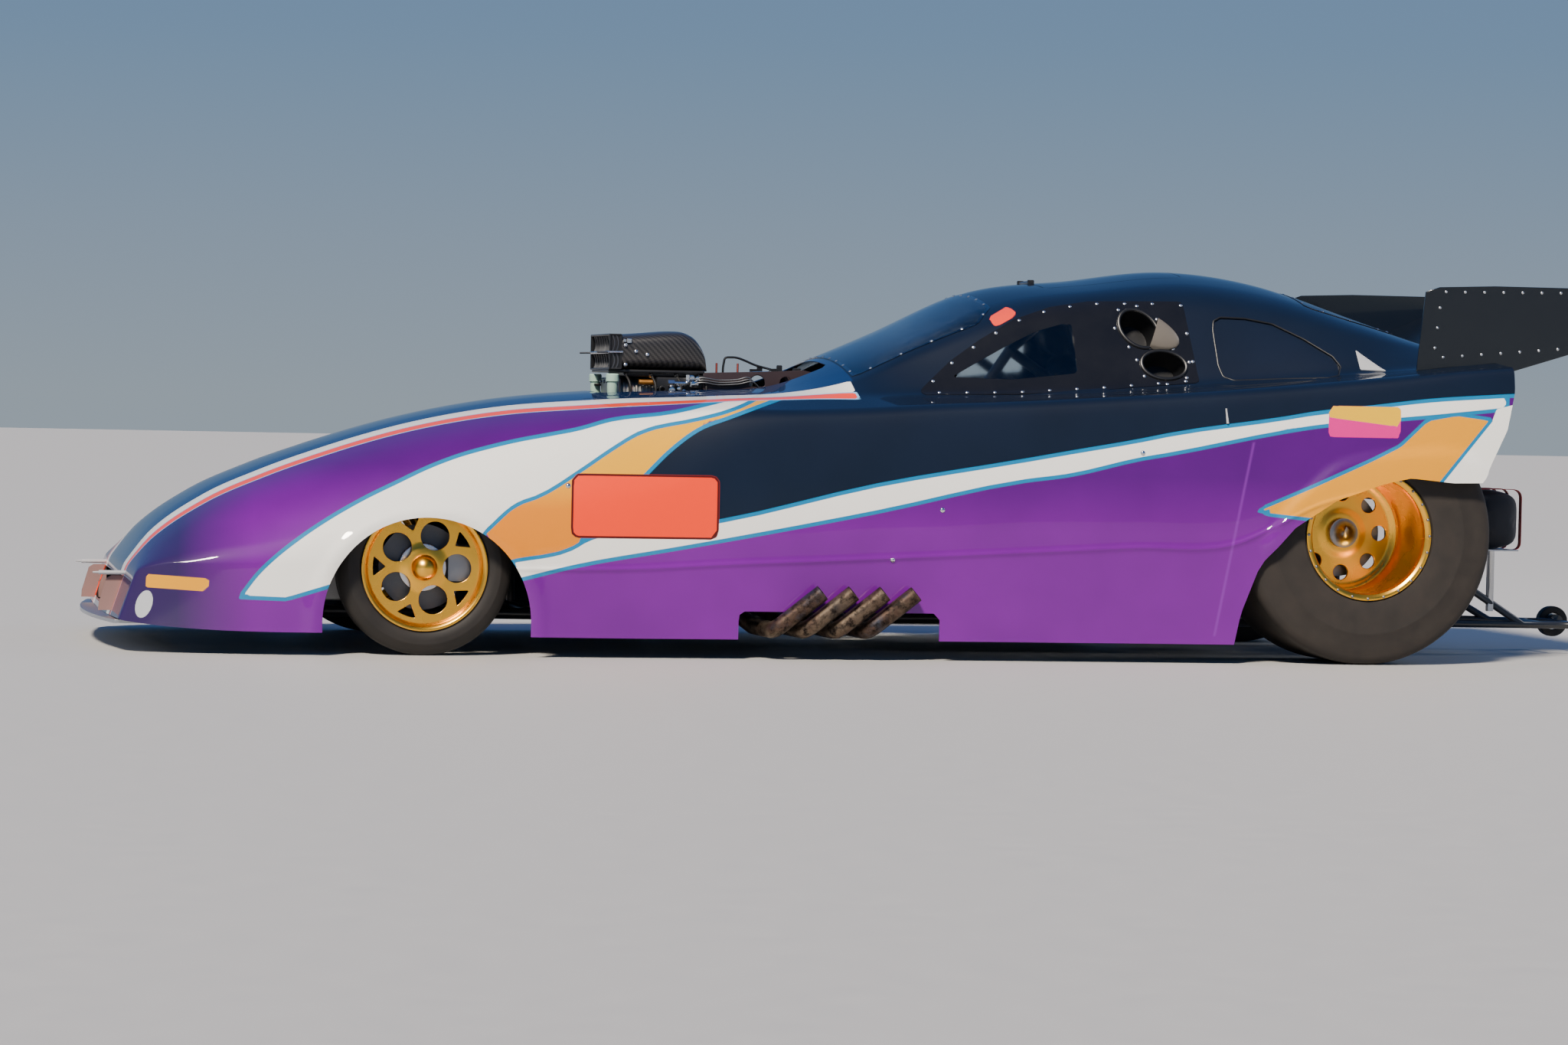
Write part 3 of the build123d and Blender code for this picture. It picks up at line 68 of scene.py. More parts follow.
def middle(node):
    """The middle of a node's box in millimetres."""
    low, high = corners(node)
    return (low + high) / 2


FRONT_AXLE = middle("front_rim_left")[0]
REAR_AXLE = middle("rear_rim_left")[0]
FRONT_HUB_Z = middle("front_rim_left")[2]
REAR_HUB_Z = middle("rear_rim_left")[2]
FRONT_HALF_TRACK = middle("front_tire_right")[1]
REAR_HALF_TRACK = middle("rear_tire_right")[1]


def front(x):
    """Place x millimetres behind the front axle."""
    return FRONT_AXLE + x


def rear(x):
    """Place x millimetres behind the rear axle."""
    return REAR_AXLE + x


def cubic(xs, ys, x):
    """Smooth curve through points: on each span a cubic whose end slopes are those of parabolas through
    neighbours."""
    xs, ys, x = np.asarray(xs, float), np.asarray(ys, float), np.asarray(x, float)
    h = np.diff(xs)
    d = np.diff(ys) / h
    slope = np.empty(len(xs))
    slope[0], slope[-1] = d[0], d[-1]
    slope[1:-1] = (d[:-1] * h[1:] + d[1:] * h[:-1]) / (h[:-1] + h[1:])
    i = np.clip(np.searchsorted(xs, x) - 1, 0, len(xs) - 2)
    t = np.clip((x - xs[i]) / h[i], 0, 1)
    return ((1 + 2 * t) * (1 - t) ** 2 * ys[i] + t * (1 - t) ** 2 * h[i] * slope[i]
            + t * t * (3 - 2 * t) * ys[i + 1] + t * t * (t - 1) * h[i] * slope[i + 1])


def ease(t):
    """0 below 0, 1 above 1 and a smooth rise between."""
    t = np.clip(t, 0, 1)
    return t * t * (3 - 2 * t)


# Colours and materials


def linear(code):
    """An sRGB hex value such as "FF8800" as a linear colour."""
    parts = [int(code[i:i + 2], 16) / 255 for i in (0, 2, 4)]
    return tuple(p / 12.92 if p <= 0.04045 else ((p + 0.055) / 1.055) ** 2.4 for p in parts) + (1.0,)


def add(tree, kind, inputs=None, output=0, stops=(), **settings):
    """One node with its settings, of which one output is returned. An input is a value, or another node's
    output to link. stops are the (place, colour) pairs of a colour ramp."""
    made = tree.nodes.new("ShaderNode" + kind)
    for key, value in settings.items():
        setattr(made, key, value)
    for key, value in (inputs or {}).items():
        if isinstance(value, bpy.types.NodeSocket):
            tree.links.new(value, made.inputs[key])
        else:
            made.inputs[key].default_value = value
    if stops:
        elements = made.color_ramp.elements
        while len(elements) < len(stops):
            elements.new(0.5)
        for element, (place, colour) in zip(elements, stops):
            element.position, element.color = place, colour
    return made.outputs[output]


def plug(tree, shader, outputs):
    """Link node outputs to the shader's named inputs."""
    for socket, output in outputs.items():
        tree.links.new(output, shader.inputs[socket])


def finish_of(name, inputs):
    """A material with one Principled shader whose uniform values are set here. Returns it, its tree and
    shader."""
    material = bpy.data.materials.new(name)
    material.use_nodes = True
    tree = material.node_tree
    shader = tree.nodes["Principled BSDF"]
    for key, value in inputs.items():
        shader.inputs[key].default_value = value
    return material, tree, shader


def drifting(name, inputs, tone=None, gloss=None, relief=None):
    """A material that drifts over its surface. tone is (pattern, two colours), gloss (pattern, two
    roughnesses) and relief (pattern, strength, depth in millimetres). A pattern is noise on Object
    coordinates, as (millimetres across a blotch, detail, roughness). Returns what finish_of does."""
    material, tree, shader = finish_of(name, inputs)
    place = add(tree, "TexCoord", output="Object")
    drift = dict.fromkeys(part[0] for part in (tone, gloss, relief) if part)
    for size, detail, rough in drift:
        drift[size, detail, rough] = add(tree, "TexNoise", {
            "Vector": place, "Scale": 1000 / size, "Detail": detail, "Roughness": rough})
    if tone:
        colour = add(tree, "Mix", {0: drift[tone[0]], 6: tone[1], 7: tone[2]}, 2, data_type="RGBA")
        plug(tree, shader, {"Base Color": colour})
    if gloss:
        plug(tree, shader, {"Roughness": add(tree, "MapRange", {0: drift[gloss[0]], 3: gloss[1], 4: gloss[2]})})
    if relief:
        plug(tree, shader, {"Normal": add(tree, "Bump", {
            "Height": drift[relief[0]], "Strength": relief[1], "Distance": relief[2] * MM})})
    return material, tree, shader


def metal(name, light, dark, rough, grain=2.0, brushed=None):
    """A bare metal whose tone and gloss drift over its surface. brushed stretches the grain along an axis."""
    material, tree, shader = finish_of(name, {"Metallic": 1.0, "Roughness": rough})
    place = add(tree, "TexCoord", output="Object")
    along = add(tree, "Mapping", {"Vector": place, "Scale": brushed}) if brushed else place
    fine = add(tree, "TexNoise", {"Vector": along, "Scale": 1000 / grain, "Detail": 4.0, "Roughness": 0.6})
    wide = add(tree, "TexNoise", {"Vector": place, "Scale": 1000 / (60 * grain), "Detail": 2.0, "Roughness": 0.5})
    tone = add(tree, "Mix", {0: fine, 6: linear(dark), 7: linear(light)}, 2, data_type="RGBA")
    plug(tree, shader, {
        "Base Color": add(tree, "Mix", {0: wide, 6: tone, 7: linear(light)}, 2, data_type="RGBA"),
        "Roughness": add(tree, "MapRange", {0: wide, 3: rough * 0.8, 4: rough * 1.35}),
        "Normal": add(tree, "Bump", {"Height": fine, "Strength": 0.25, "Distance": 0.05 * MM})})
    return material


def coated(name, colour, rough, grain=3.0, depth=0.05, drift=0.15, coat=0.0):
    """Paint or powder coat over metal: one colour that drifts a little, with a fine texture."""
    red, green, blue, _ = linear(colour)
    lower = (red * (1 - drift), green * (1 - drift), blue * (1 - drift), 1)
    wide = (90, 3.0, 0.5)
    inputs = {"Roughness": rough, "IOR": 1.5, "Coat Weight": coat, "Coat Roughness": 0.05}
    return drifting(name, inputs, (wide, lower, linear(colour)), (wide, rough * 0.85, rough * 1.2),
                   ((grain, 3.0, 0.5), 0.3, depth))[0]


# Meshes


def make(name, shape, material, body, stands_for=(), sharp=35, smooth=True):
    """A piece from (points, quads, triangles), or from a list of such shapes, riding on a body."""
    points, quads, triangles = join(*shape) if isinstance(shape, list) else shape
    mesh = bpy.data.meshes.new(name)
    mesh.vertices.add(len(points))
    mesh.vertices.foreach_set("co", (np.asarray(points, float) * MM).astype(np.float32).ravel())
    loops = np.concatenate([np.ravel(quads), np.ravel(triangles)]).astype(np.int32)
    starts = np.concatenate([np.arange(len(quads)) * 4, len(quads) * 4 + np.arange(len(triangles)) * 3])
    mesh.loops.add(len(loops))
    mesh.loops.foreach_set("vertex_index", loops)
    mesh.polygons.add(len(starts))
    mesh.polygons.foreach_set("loop_start", starts.astype(np.int32))
    mesh.update(calc_edges=True)
    mesh.validate()
    if smooth:
        mesh.shade_smooth()
        mesh.set_sharp_from_angle(angle=math.radians(sharp))
    piece = bpy.data.objects.new(name, mesh)
    bpy.context.scene.collection.objects.link(piece)
    mesh.materials.append(material)
    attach(piece, body)
    if stands_for:
        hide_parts(*stands_for)
    return piece


NO_TRIANGLES = np.zeros((0, 3), int)


def sheet_of(points, wrap_u=False, wrap_v=False, flip=False):
    """A grid of points as quads. A face's normal is (along u) x (along v), or the other way when flipped."""
    nu, nv = points.shape[:2]
    index = np.arange(nu * nv).reshape(nu, nv)
    if wrap_u:
        index = np.concatenate([index, index[:1]], 0)
    if wrap_v:
        index = np.concatenate([index, index[:, :1]], 1)
    quads = np.stack([index[:-1, :-1], index[1:, :-1], index[1:, 1:], index[:-1, 1:]], -1).reshape(-1, 4)
    if flip:
        quads = quads[:, ::-1]
    return points.reshape(-1, 3), quads, NO_TRIANGLES


def join(*shapes):
    """Several shapes as one."""
    offset, points, quads, triangles = 0, [], [], []
    for p, q, t in shapes:
        points.append(p)
        quads.append(q + offset)
        triangles.append(t + offset)
        offset += len(p)
    return np.concatenate(points), np.concatenate(quads), np.concatenate(triangles)


def moved(shape, by):
    """The shape carried by a vector."""
    return shape[0] + np.asarray(by, float), shape[1], shape[2]


def mirrored(shape):
    """The shape on the other side of the car, its faces turned to keep pointing outwards."""
    return shape[0] * (1, -1, 1), shape[1][:, ::-1], shape[2][:, ::-1]


def rounded(steps, radius, count=4):
    """An open profile with its inner corners rounded: each corner becomes a curve that starts and ends radius
    away."""
    steps = np.asarray(steps, float)
    out = [steps[0]]
    for before, at, after in zip(steps, steps[1:], steps[2:]):
        u, v = before - at, after - at
        lu, lv = np.linalg.norm(u), np.linalg.norm(v)
        r = min(radius, 0.45 * lu, 0.45 * lv)
        p, q = at + u / lu * r, at + v / lv * r
        s = np.linspace(0, 1, count + 1)[:, None]
        out.extend((1 - s) ** 2 * p + 2 * s * (1 - s) * at + s * s * q)
    out.append(steps[-1])
    return np.array(out)


def frames_along(path):
    """Unit tangents and two side directions along a path, turned as little as possible from point to
    point."""
    path = np.asarray(path, float)
    tangent = np.gradient(path, axis=0)
    tangent /= np.linalg.norm(tangent, axis=1)[:, None]
    side = np.cross(tangent[0], (0.0, 0.0, 1.0) if abs(tangent[0][2]) < 0.9 else (1.0, 0.0, 0.0))
    sides = []
    for t in tangent:
        side = side - t * (side @ t)
        side = side / np.linalg.norm(side)
        sides.append(side)
    sides = np.array(sides)
    return tangent, sides, np.cross(tangent, sides)


def around(a, b, count):
    """count directions round the plane of a and b: a cos w + b sin w."""
    angle = np.arange(count) * 2 * math.pi / count
    return a[:, None] * np.cos(angle)[:, None] + b[:, None] * np.sin(angle)[:, None]


def pipe(path, radius, count=16):
    """A round tube along a path: each ring is the path point plus radius times two side directions.
    The radius may be one number or one for each point."""
    path = np.asarray(path, float)
    _, a, b = frames_along(path)
    radius = np.broadcast_to(np.asarray(radius, float), (len(path),))
    points, quads, _ = sheet_of(path[:, None] + around(a, b, count) * radius[:, None, None], wrap_v=True,
                                flip=True)
    last = len(points)
    first_ring, last_ring = np.arange(count), last - count + np.arange(count)
    fans = [np.stack([np.full(count, last), first_ring, np.roll(first_ring, -1)], 1),
            np.stack([np.full(count, last + 1), np.roll(last_ring, -1), last_ring], 1)]
    return facing_out((np.concatenate([points, path[:1], path[-1:]]), quads, np.concatenate(fans)))


def smooth_path(points, count=40):
    """A cubic curve through points, evenly spread by length."""
    points = np.asarray(points, float)
    along = np.concatenate([[0], np.cumsum(np.linalg.norm(np.diff(points, axis=0), axis=1))])
    s = np.linspace(0, along[-1], count)
    return np.stack([cubic(along, points[:, k], s) for k in range(3)], 1)


def box_of(low, high, bevel=2.0):
    """A box whose edges are cut by the bevel: a rounded square profile with its ends drawn in."""
    low, high = np.asarray(low, float), np.asarray(high, float)
    size, centre = (high - low) / 2, (high + low) / 2
    bevel = min(bevel, *(size * 0.9))
    square = np.array([[1, 1], [-1, 1], [-1, -1], [1, -1]], float)
    loop = []
    for (sx, sy) in square:
        for k in ((0, 1), (1, 0)) if sx * sy > 0 else ((1, 0), (0, 1)):
            loop.append((sx * (size[0] - bevel * k[0]), sy * (size[1] - bevel * k[1])))
    loop = np.array(loop)
    levels = [(-size[2], 1), (-size[2] + bevel, 0), (size[2] - bevel, 0), (size[2], 1)]
    rows = []
    for z, shrink in levels:
        pulled = loop - np.sign(loop) * bevel * shrink * 0.6
        rows.append(np.column_stack([pulled, np.full(len(loop), z)]))
    rows = np.array(rows)
    points, quads, _ = sheet_of(rows, wrap_v=True, flip=True)
    n = len(loop)
    bottom, top = np.arange(n), len(points) - n + np.arange(n)
    points = np.concatenate([points, [[0, 0, -size[2]], [0, 0, size[2]]]])
    fan_a = np.stack([np.full(n, len(points) - 2), np.roll(bottom, -1), bottom], 1)
    fan_b = np.stack([np.full(n, len(points) - 1), top, np.roll(top, -1)], 1)
    return points + centre, quads, np.concatenate([fan_a, fan_b])


def domes(places, normals, radius, rise, count=8):
    """Round heads on a surface: rings at growing angle around each normal, closed at the crown."""
    places, normals = np.asarray(places, float), np.asarray(normals, float)
    normals = normals / np.linalg.norm(normals, axis=1)[:, None]
    helper = np.where(np.abs(normals[:, 2:]) < 0.9, (0.0, 0.0, 1.0), (1.0, 0.0, 0.0))
    a = np.cross(normals, helper)
    a /= np.linalg.norm(a, axis=1)[:, None]
    b = np.cross(normals, a)
    ring = around(a, b, count)
    rings = []
    for share, height in ((1.0, -0.2), (1.0, 0.2), (0.75, 0.75), (0.35, 1.0)):
        rings.append(places[:, None] + ring * radius * share + normals[:, None] * rise * height)
    points = np.stack(rings, 1)
    n, levels = len(places), len(rings)
    index = np.arange(n * levels * count).reshape(n, levels, count)
    low, high = index[:, :-1], index[:, 1:]
    quads = np.stack([low, np.roll(low, -1, 2), np.roll(high, -1, 2), high], -1).reshape(-1, 4)
    crown = index[:, -1]
    fan = np.stack([np.repeat(crown[:, :1], count - 2, 1), crown[:, 1:-1], crown[:, 2:]], -1).reshape(-1, 3)
    return points.reshape(-1, 3), quads, fan


def dressed(node, material, bevel=1.0, sharp=30):
    """A CAD node's own shape with its doubles merged, its edges eased and a finish."""
    source = NODES[node]
    mesh = source.data.copy()
    piece = bpy.data.objects.new(node + "_dressed", mesh)
    bpy.context.scene.collection.objects.link(piece)
    work = bpy.data.meshes.new(piece.name)
    bm = bmesh.new()
    bm.from_mesh(mesh)
    bmesh.ops.remove_doubles(bm, verts=bm.verts, dist=0.00002)
    bmesh.ops.dissolve_limit(bm, angle_limit=math.radians(1.0), verts=bm.verts, edges=bm.edges)
    bmesh.ops.triangulate(bm, faces=[f for f in bm.faces if len(f.verts) > 4])
    bm.to_mesh(work)
    bm.free()
    piece.data = work
    bpy.data.meshes.remove(mesh)
    work.shade_smooth()
    work.set_sharp_from_angle(angle=math.radians(sharp))
    work.materials.clear()
    work.materials.append(material)
    if bevel:
        eased = piece.modifiers.new("eased", "BEVEL")
        eased.width = bevel * MM
        eased.segments = 2
        eased.limit_method = "ANGLE"
        eased.angle_limit = math.radians(40)
        eased.harden_normals = False
    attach(piece, BODY_OF[node])
    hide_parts(node)
    return piece


# Body panels

# Half sections of the shell, each x from the named axle. From the top centre down: roof or hood edge,
# foot of the greenhouse, belt, middle of the side, lower crease, skirt; each as (half width, height).
SECTIONS = [
    ("front", -1000, 262, (330, 258), (600, 250), (735, 242), (760, 235), (775, 225), (780, 108)),
    ("front", -942, 287, (340, 283), (600, 275), (745, 268), (775, 264), (790, 258), (795, 100)),
    ("front", -850, 392, (350, 384), (610, 352), (755, 318), (800, 302), (823, 287), (828, 90)),
    ("front", -685, 513, (365, 502), (640, 455), (785, 385), (840, 335), (862, 289), (866, 80)),
    ("front", -500, 600, (385, 587), (660, 533), (805, 445), (866, 360), (888, 290), (890, 76)),
    ("front", -300, 675, (400, 661), (675, 602), (820, 510), (884, 400), (901, 290), (902, 76)),
    ("front", 0, 769, (420, 752), (690, 692), (832, 600), (892, 450), (905, 290), (904, 72)),
    ("front", 300, 833, (435, 814), (700, 758), (840, 678), (895, 480), (905, 288), (902, 68)),
    ("front", 650, 872, (450, 853), (705, 812), (846, 755), (895, 530), (903, 292), (897, 66)),
    ("front", 1000, 888, (455, 870), (700, 845), (852, 806), (893, 560), (900, 312), (893, 66)),
    ("front", 1230, 905, (480, 884), (695, 858), (855, 811), (896, 570), (903, 323), (895, 66)),
    ("front", 1440, 990, (560, 922), (690, 872), (858, 820), (900, 580), (906, 334), (897, 66)),
    ("front", 1700, 1100, (552, 1045), (675, 880), (862, 841), (904, 592), (910, 348), (900, 66)),
    ("front", 1990, 1238, (530, 1160), (662, 888), (872, 860), (912, 605), (917, 364), (905, 66)),
    ("rear", -815, 1292, (508, 1225), (655, 903), (886, 888), (925, 630), (932, 385), (918, 66)),
    ("rear", -485, 1330, (503, 1245), (655, 928), (900, 914), (940, 650), (948, 400), (935, 66)),
    ("rear", -175, 1295, (505, 1205), (665, 955), (912, 943), (952, 700), (962, 545), (955, 66)),
    ("rear", 125, 1198, (515, 1132), (695, 988), (922, 973), (955, 760), (965, 600), (958, 66)),
    ("rear", 325, 1127, (535, 1082), (725, 1010), (922, 996), (950, 800), (960, 610), (955, 66)),
    ("rear", 505, 1065, (565, 1048), (760, 1025), (915, 1010), (940, 820), (950, 620), (945, 66)),
]
STATIONS = np.array([front(s[1]) if s[0] == "front" else rear(s[1]) for s in SECTIONS])
CORNERS = np.array([[(0, s[2]), *s[3:]] for s in SECTIONS], float)
NOSE_ROW = STATIONS[0]
NOSE_ROUND = 12
CAP_LENGTH = 300
CAP_FOOT = 104
# How far each corner's rounding reaches into the stretches beside it, near the nose and along the cabin
ROUNDING = {1: (0.42, 0.22), 2: (0.45, 0.16), 3: (0.48, 0.10), 4: (0.05, 0.03)}
ROUND_FROM, ROUND_TO = front(700), front(1250)
FLARE_RISE = 14
BEAD_RISE, BEAD_WIDTH = 5.0, 7.0
LIP_RISE, LIP_PLACE, LIP_WIDTH = 9.0, 26.0, 20.0
FLARE = [(2790, 380), (2870, 540), (2945, 610), (3030, 680), (3125, 712), (3220, 727), (3330, 735),
         (3420, 740), (3560, 700), (3640, 560), (3400, 300), (3000, 300)]


def smooth_loop(points, count=6):
    """A closed smooth loop through points, by parabola slopes, with count steps between points."""
    points = np.asarray(points, float)
    wide = np.concatenate([points[-3:], points, points[:4]])
    along = np.concatenate([[0], np.cumsum(np.linalg.norm(np.diff(wide, axis=0), axis=1))])
    first, last = along[3], along[3 + len(points)]
    s = np.linspace(first, last, count * len(points), endpoint=False)
    return np.stack([cubic(along, wide[:, k], s) for k in range(2)], 1)


def inside(loop, a, b):
    """Distance in millimetres from points (a, b) to a closed loop: positive inside it and negative
    outside."""
    shape, loop = np.shape(a), np.asarray(loop, float)
    p = np.stack([np.ravel(a), np.ravel(b)], 1)
    best, within = np.full(len(p), 1e18), np.zeros(len(p), bool)
    for q, r in zip(loop, np.roll(loop, -1, 0)):
        edge, from_q = r - q, p - q
        share = np.clip(from_q @ edge / max(edge @ edge, 1e-12), 0, 1)
        best = np.minimum(best, ((from_q - share[:, None] * edge) ** 2).sum(1))
        if q[1] != r[1]:
            reach = q[0] + edge[0] * (p[:, 1] - q[1]) / edge[1]
            within ^= ((q[1] <= p[:, 1]) != (r[1] <= p[:, 1])) & (p[:, 0] < reach)
    return (np.sqrt(best) * np.where(within, 1, -1)).reshape(shape)


def rectangle(x0, x1, y0, y1, corner, a, b):
    """Distance into a rectangle with round corners, positive inside."""
    dx = np.abs(a - (x0 + x1) / 2) - ((x1 - x0) / 2 - corner)
    dy = np.abs(b - (y0 + y1) / 2) - ((y1 - y0) / 2 - corner)
    outer = np.hypot(np.maximum(dx, 0), np.maximum(dy, 0)) + np.minimum(np.maximum(dx, dy), 0)
    return corner - outer


CORNER_CURVES = [[(STATIONS, CORNERS[:, k, 0]), (STATIONS, CORNERS[:, k, 1])] for k in range(7)]


def nose_face(y, z):
    """x of the swept and slanted nose face."""
    return front(-1028 + 197 * z / 600) + 14 * (y / 780) ** 2


ARCH_RADIUS, ARCH_CENTRE_Z = 338, 112


def front_arch(x, z):
    """Distance into the front wheel's arch: ARCH_RADIUS less the distance from its centre, or from the upright
    line through it where the point is lower."""
    a, b = np.abs(x - FRONT_AXLE), z - ARCH_CENTRE_Z
    return ARCH_RADIUS - np.where(b > 0, np.hypot(a, b), a)


def shell(u, t):
    """Point of the outer shell. u is the place along the car; t runs down the section from 0 at the top
    centre to 5 at the skirt, and is negative on the left side. Between corners the section is an arc or a
    straight line, and near a corner it is a quadratic curve. Ahead of the first section the outline shrinks
    to the middle of its foot, and all of that lies on the nose face."""
    side, t = np.where(t < 0, -1.0, 1.0), np.abs(t)
    x = np.maximum(u, NOSE_ROW)
    c = [(cubic(*cy, x), cubic(*cz, x)) for cy, cz in CORNER_CURVES]

    def raw(t):
        s = np.clip(t, 0, 1)
        y, z = c[1][0] * s, c[0][1] + (c[1][1] - c[0][1]) * s * s
        for k, (p, q) in ((1, (c[1], c[2])), (2, (c[2], c[3]))):
            s = np.clip(t - k, 0, 1)
            y = np.where(t > k, p[0] + (q[0] - p[0]) * s, y)
            z = np.where(t > k, p[1] + (q[1] - p[1]) * s, z)
        s = np.clip(t - 3, 0, 1)
        weights = ((1 - s) * (1 - 2 * s), 4 * s * (1 - s), s * (2 * s - 1))
        y = np.where(t > 3, sum(w * c[k][0] for w, k in zip(weights, (3, 4, 5))), y)
        z = np.where(t > 3, sum(w * c[k][1] for w, k in zip(weights, (3, 4, 5))), z)
        s = np.clip(t - 4, 0, 1)
        y = np.where(t > 4, c[5][0] + (c[6][0] - c[5][0]) * s, y)
        z = np.where(t > 4, c[5][1] + (c[6][1] - c[5][1]) * s, z)
        return y, z

    y, z = raw(t)
    back = ease((x - ROUND_FROM) / (ROUND_TO - ROUND_FROM))
    for corner, (near, far) in ROUNDING.items():
        reach = near + (far - near) * back
        w = np.clip((t - corner) / reach, -1, 1) / 2 + 0.5
        (ya, za), (yb, zb) = raw(corner - reach), raw(corner + reach)
        yc, zc = c[corner + (corner > 3)]
        close = np.abs(t - corner) < reach
        y = np.where(close, (1 - w) ** 2 * ya + 2 * w * (1 - w) * yc + w * w * yb, y)
        z = np.where(close, (1 - w) ** 2 * za + 2 * w * (1 - w) * zc + w * w * zb, z)
    flare = inside(FLARE_LOOP, x - FRONT_AXLE, z)
    y = y + FLARE_RISE * ease(flare / 26) * ease((z - 300) / 100) * (t > 3)
    bead = np.exp(-((z - c[5][1]) / BEAD_WIDTH) ** 2) * ease((x - front(235)) / 120)
    lip = np.exp(-((-front_arch(x, z) - LIP_PLACE) / LIP_WIDTH) ** 2) * (t > 2.6) * (u > NOSE_ROW)
    y = y + BEAD_RISE * bead + LIP_RISE * lip
    shrink = np.clip(1 + (u - NOSE_ROW) / CAP_LENGTH, 0, 1)
    y, z = y * shrink, CAP_FOOT + (z - CAP_FOOT) * shrink
    face = nose_face(y, z)
    x = np.where(u < NOSE_ROW, NOSE_ROW - 200, x)
    x = face + NOSE_ROUND * np.logaddexp(0, (x - face) / NOSE_ROUND)
    return np.stack([x, y * side, z], -1)


FLARE_LOOP = smooth_loop(FLARE, 4)


def shell_normal(u, t):
    """Outward unit normal of the shell, from small steps along u and t."""
    du, dt = 1.0, 0.004
    along = shell(u + du, t) - shell(u - du, t)
    down = shell(u, t + dt) - shell(u, t - dt)
    n = np.cross(along, down)
    return n / np.maximum(np.linalg.norm(n, axis=-1, keepdims=True), 1e-9)


def spread(edges, step):
    """Values from the first edge to the last in even steps of about the given size, each edge among them."""
    out = [edges[0]]
    for a, b in zip(edges, edges[1:]):
        n = max(1, round((b - a) / step))
        out.extend(a + (b - a) * (np.arange(n) + 1) / n)
    return np.array(out)


def t_values(cell):
    """Places down both sides of the section, with cells of about the given size."""
    lengths = (440, 290, 170, 450, 240)
    half = [0.0]
    for k, length in enumerate(lengths):
        n = max(2, round(length / cell))
        half.extend(k + (np.arange(n) + 1) / n)
    half = np.sort(np.concatenate([half, [3.95, 3.975, 3.9875, 4.015, 4.03, 4.06]]))
    return np.concatenate([-half[:0:-1], half])


def slopes(surface, keep, u, t, now, steps):
    """How fast keep changes along the surface for each of u and t, and how far a unit step of each
    carries."""
    du, dt = steps
    here, ahead, down = surface(u, t), surface(u + du, t), surface(u, t + dt)
    size_u = np.linalg.norm(ahead - here, axis=-1) / du + 1e-6
    size_t = np.linalg.norm(down - here, axis=-1) / dt + 1e-6
    by_u = (keep(*np.moveaxis(ahead, -1, 0)) - now) / (du * size_u)
    by_t = (keep(*np.moveaxis(down, -1, 0)) - now) / (dt * size_t)
    return by_u, by_t, size_u, size_t


def trimmed(us, ts, keep, offset=0.0, surface=None, steps=(0.5, 0.002)):
    """The part of a surface where keep(x, y, z) is above 0, as (points, quads, triangles).
    Grid points next to the edge are first slid along the surface onto the edge, so that the cut is smooth.
    offset moves the surface outwards. The surface is the shell when none is given."""
    surface = surface or shell
    u, t = np.meshgrid(us, ts, indexing="ij")
    value = keep(*np.moveaxis(surface(u, t), -1, 0))
    near = np.zeros(u.shape, bool)
    for a, b in ((np.s_[:-1, :], np.s_[1:, :]), (np.s_[:, :-1], np.s_[:, 1:])):
        crossed = value[a] * value[b] < 0
        first = np.abs(value[a]) <= np.abs(value[b])
        near[a] |= crossed & first
        near[b] |= crossed & ~first
    nu, nt, now = u[near], t[near], value[near]
    limit = 1.5 * np.abs(np.diff(us)).max()
    for _ in range(5):
        by_u, by_t, size_u, size_t = slopes(surface, keep, nu, nt, now, steps)
        step = np.clip(-now / np.maximum(by_u * by_u + by_t * by_t, 0.05), -limit, limit)
        nu, nt = nu + step * by_u / size_u, nt + step * by_t / size_t
        now = keep(*np.moveaxis(surface(nu, nt), -1, 0))
    u[near], t[near] = nu, nt
    value[near] = 0
    points = surface(u, t)
    if offset:
        points = points + offset * shell_normal(u, t)
    index = np.arange(u.size).reshape(u.shape)
    quads = np.stack([index[:-1, :-1], index[1:, :-1], index[1:, 1:], index[:-1, 1:]], -1).reshape(-1, 4)
    v = value.ravel()[quads]
    some, none = (v > 0).any(1), (v < 0).any(1)
    whole = quads[some & ~none]
    mixed, mv = quads[some & none], v[some & none]
    straight = (mv[:, 0] == 0) & (mv[:, 2] == 0)
    across = (mv[:, 1] == 0) & (mv[:, 3] == 0)
    triangles = [mixed[split & (mv[:, corner] > 0)][:, kept] for split, corner, kept in (
        (straight, 1, [0, 1, 2]), (straight, 3, [0, 2, 3]), (across, 0, [0, 1, 3]), (across, 2, [1, 2, 3]))]
    rest = ~straight & ~across & (mv.mean(1) > 0)
    return tidy(points.reshape(-1, 3), np.concatenate([whole, mixed[rest]]), np.concatenate(triangles))


def welded(shape, grain=0.02):
    """The shape with points that share a place made one, and quads that lose a corner made triangles."""
    points, quads, triangles = shape
    cells = np.round(points / grain).astype(int)
    _, first, number = np.unique(cells, axis=0, return_index=True, return_inverse=True)
    number = number.ravel()
    quads, triangles = number[quads], number[triangles]
    extra = []
    for k in range(4):
        lost = quads[:, k] == quads[:, (k + 1) % 4]
        extra.append(quads[lost][:, [k, (k + 2) % 4, (k + 3) % 4]])
        quads = quads[~lost]
    triangles = np.concatenate([triangles, *extra])
    a, b, c = triangles.T
    triangles = triangles[(a != b) & (b != c) & (c != a)]
    return tidy(points[first], quads, triangles)


def tidy(points, quads, triangles):
    """The shape without the points that no face uses."""
    used = np.unique(np.concatenate([quads.ravel(), triangles.ravel()]))
    renumber = np.zeros(len(points), int)
    renumber[used] = np.arange(len(used))
    return points[used], renumber[quads], renumber[triangles]


# Openings in the shell, each as a distance that is positive inside the opening

OUTSIDE = -500


def outline(points, axle):
    """A flat outline whose places are given from an axle, in the frame."""
    return np.array(points, float) + (axle, 0)


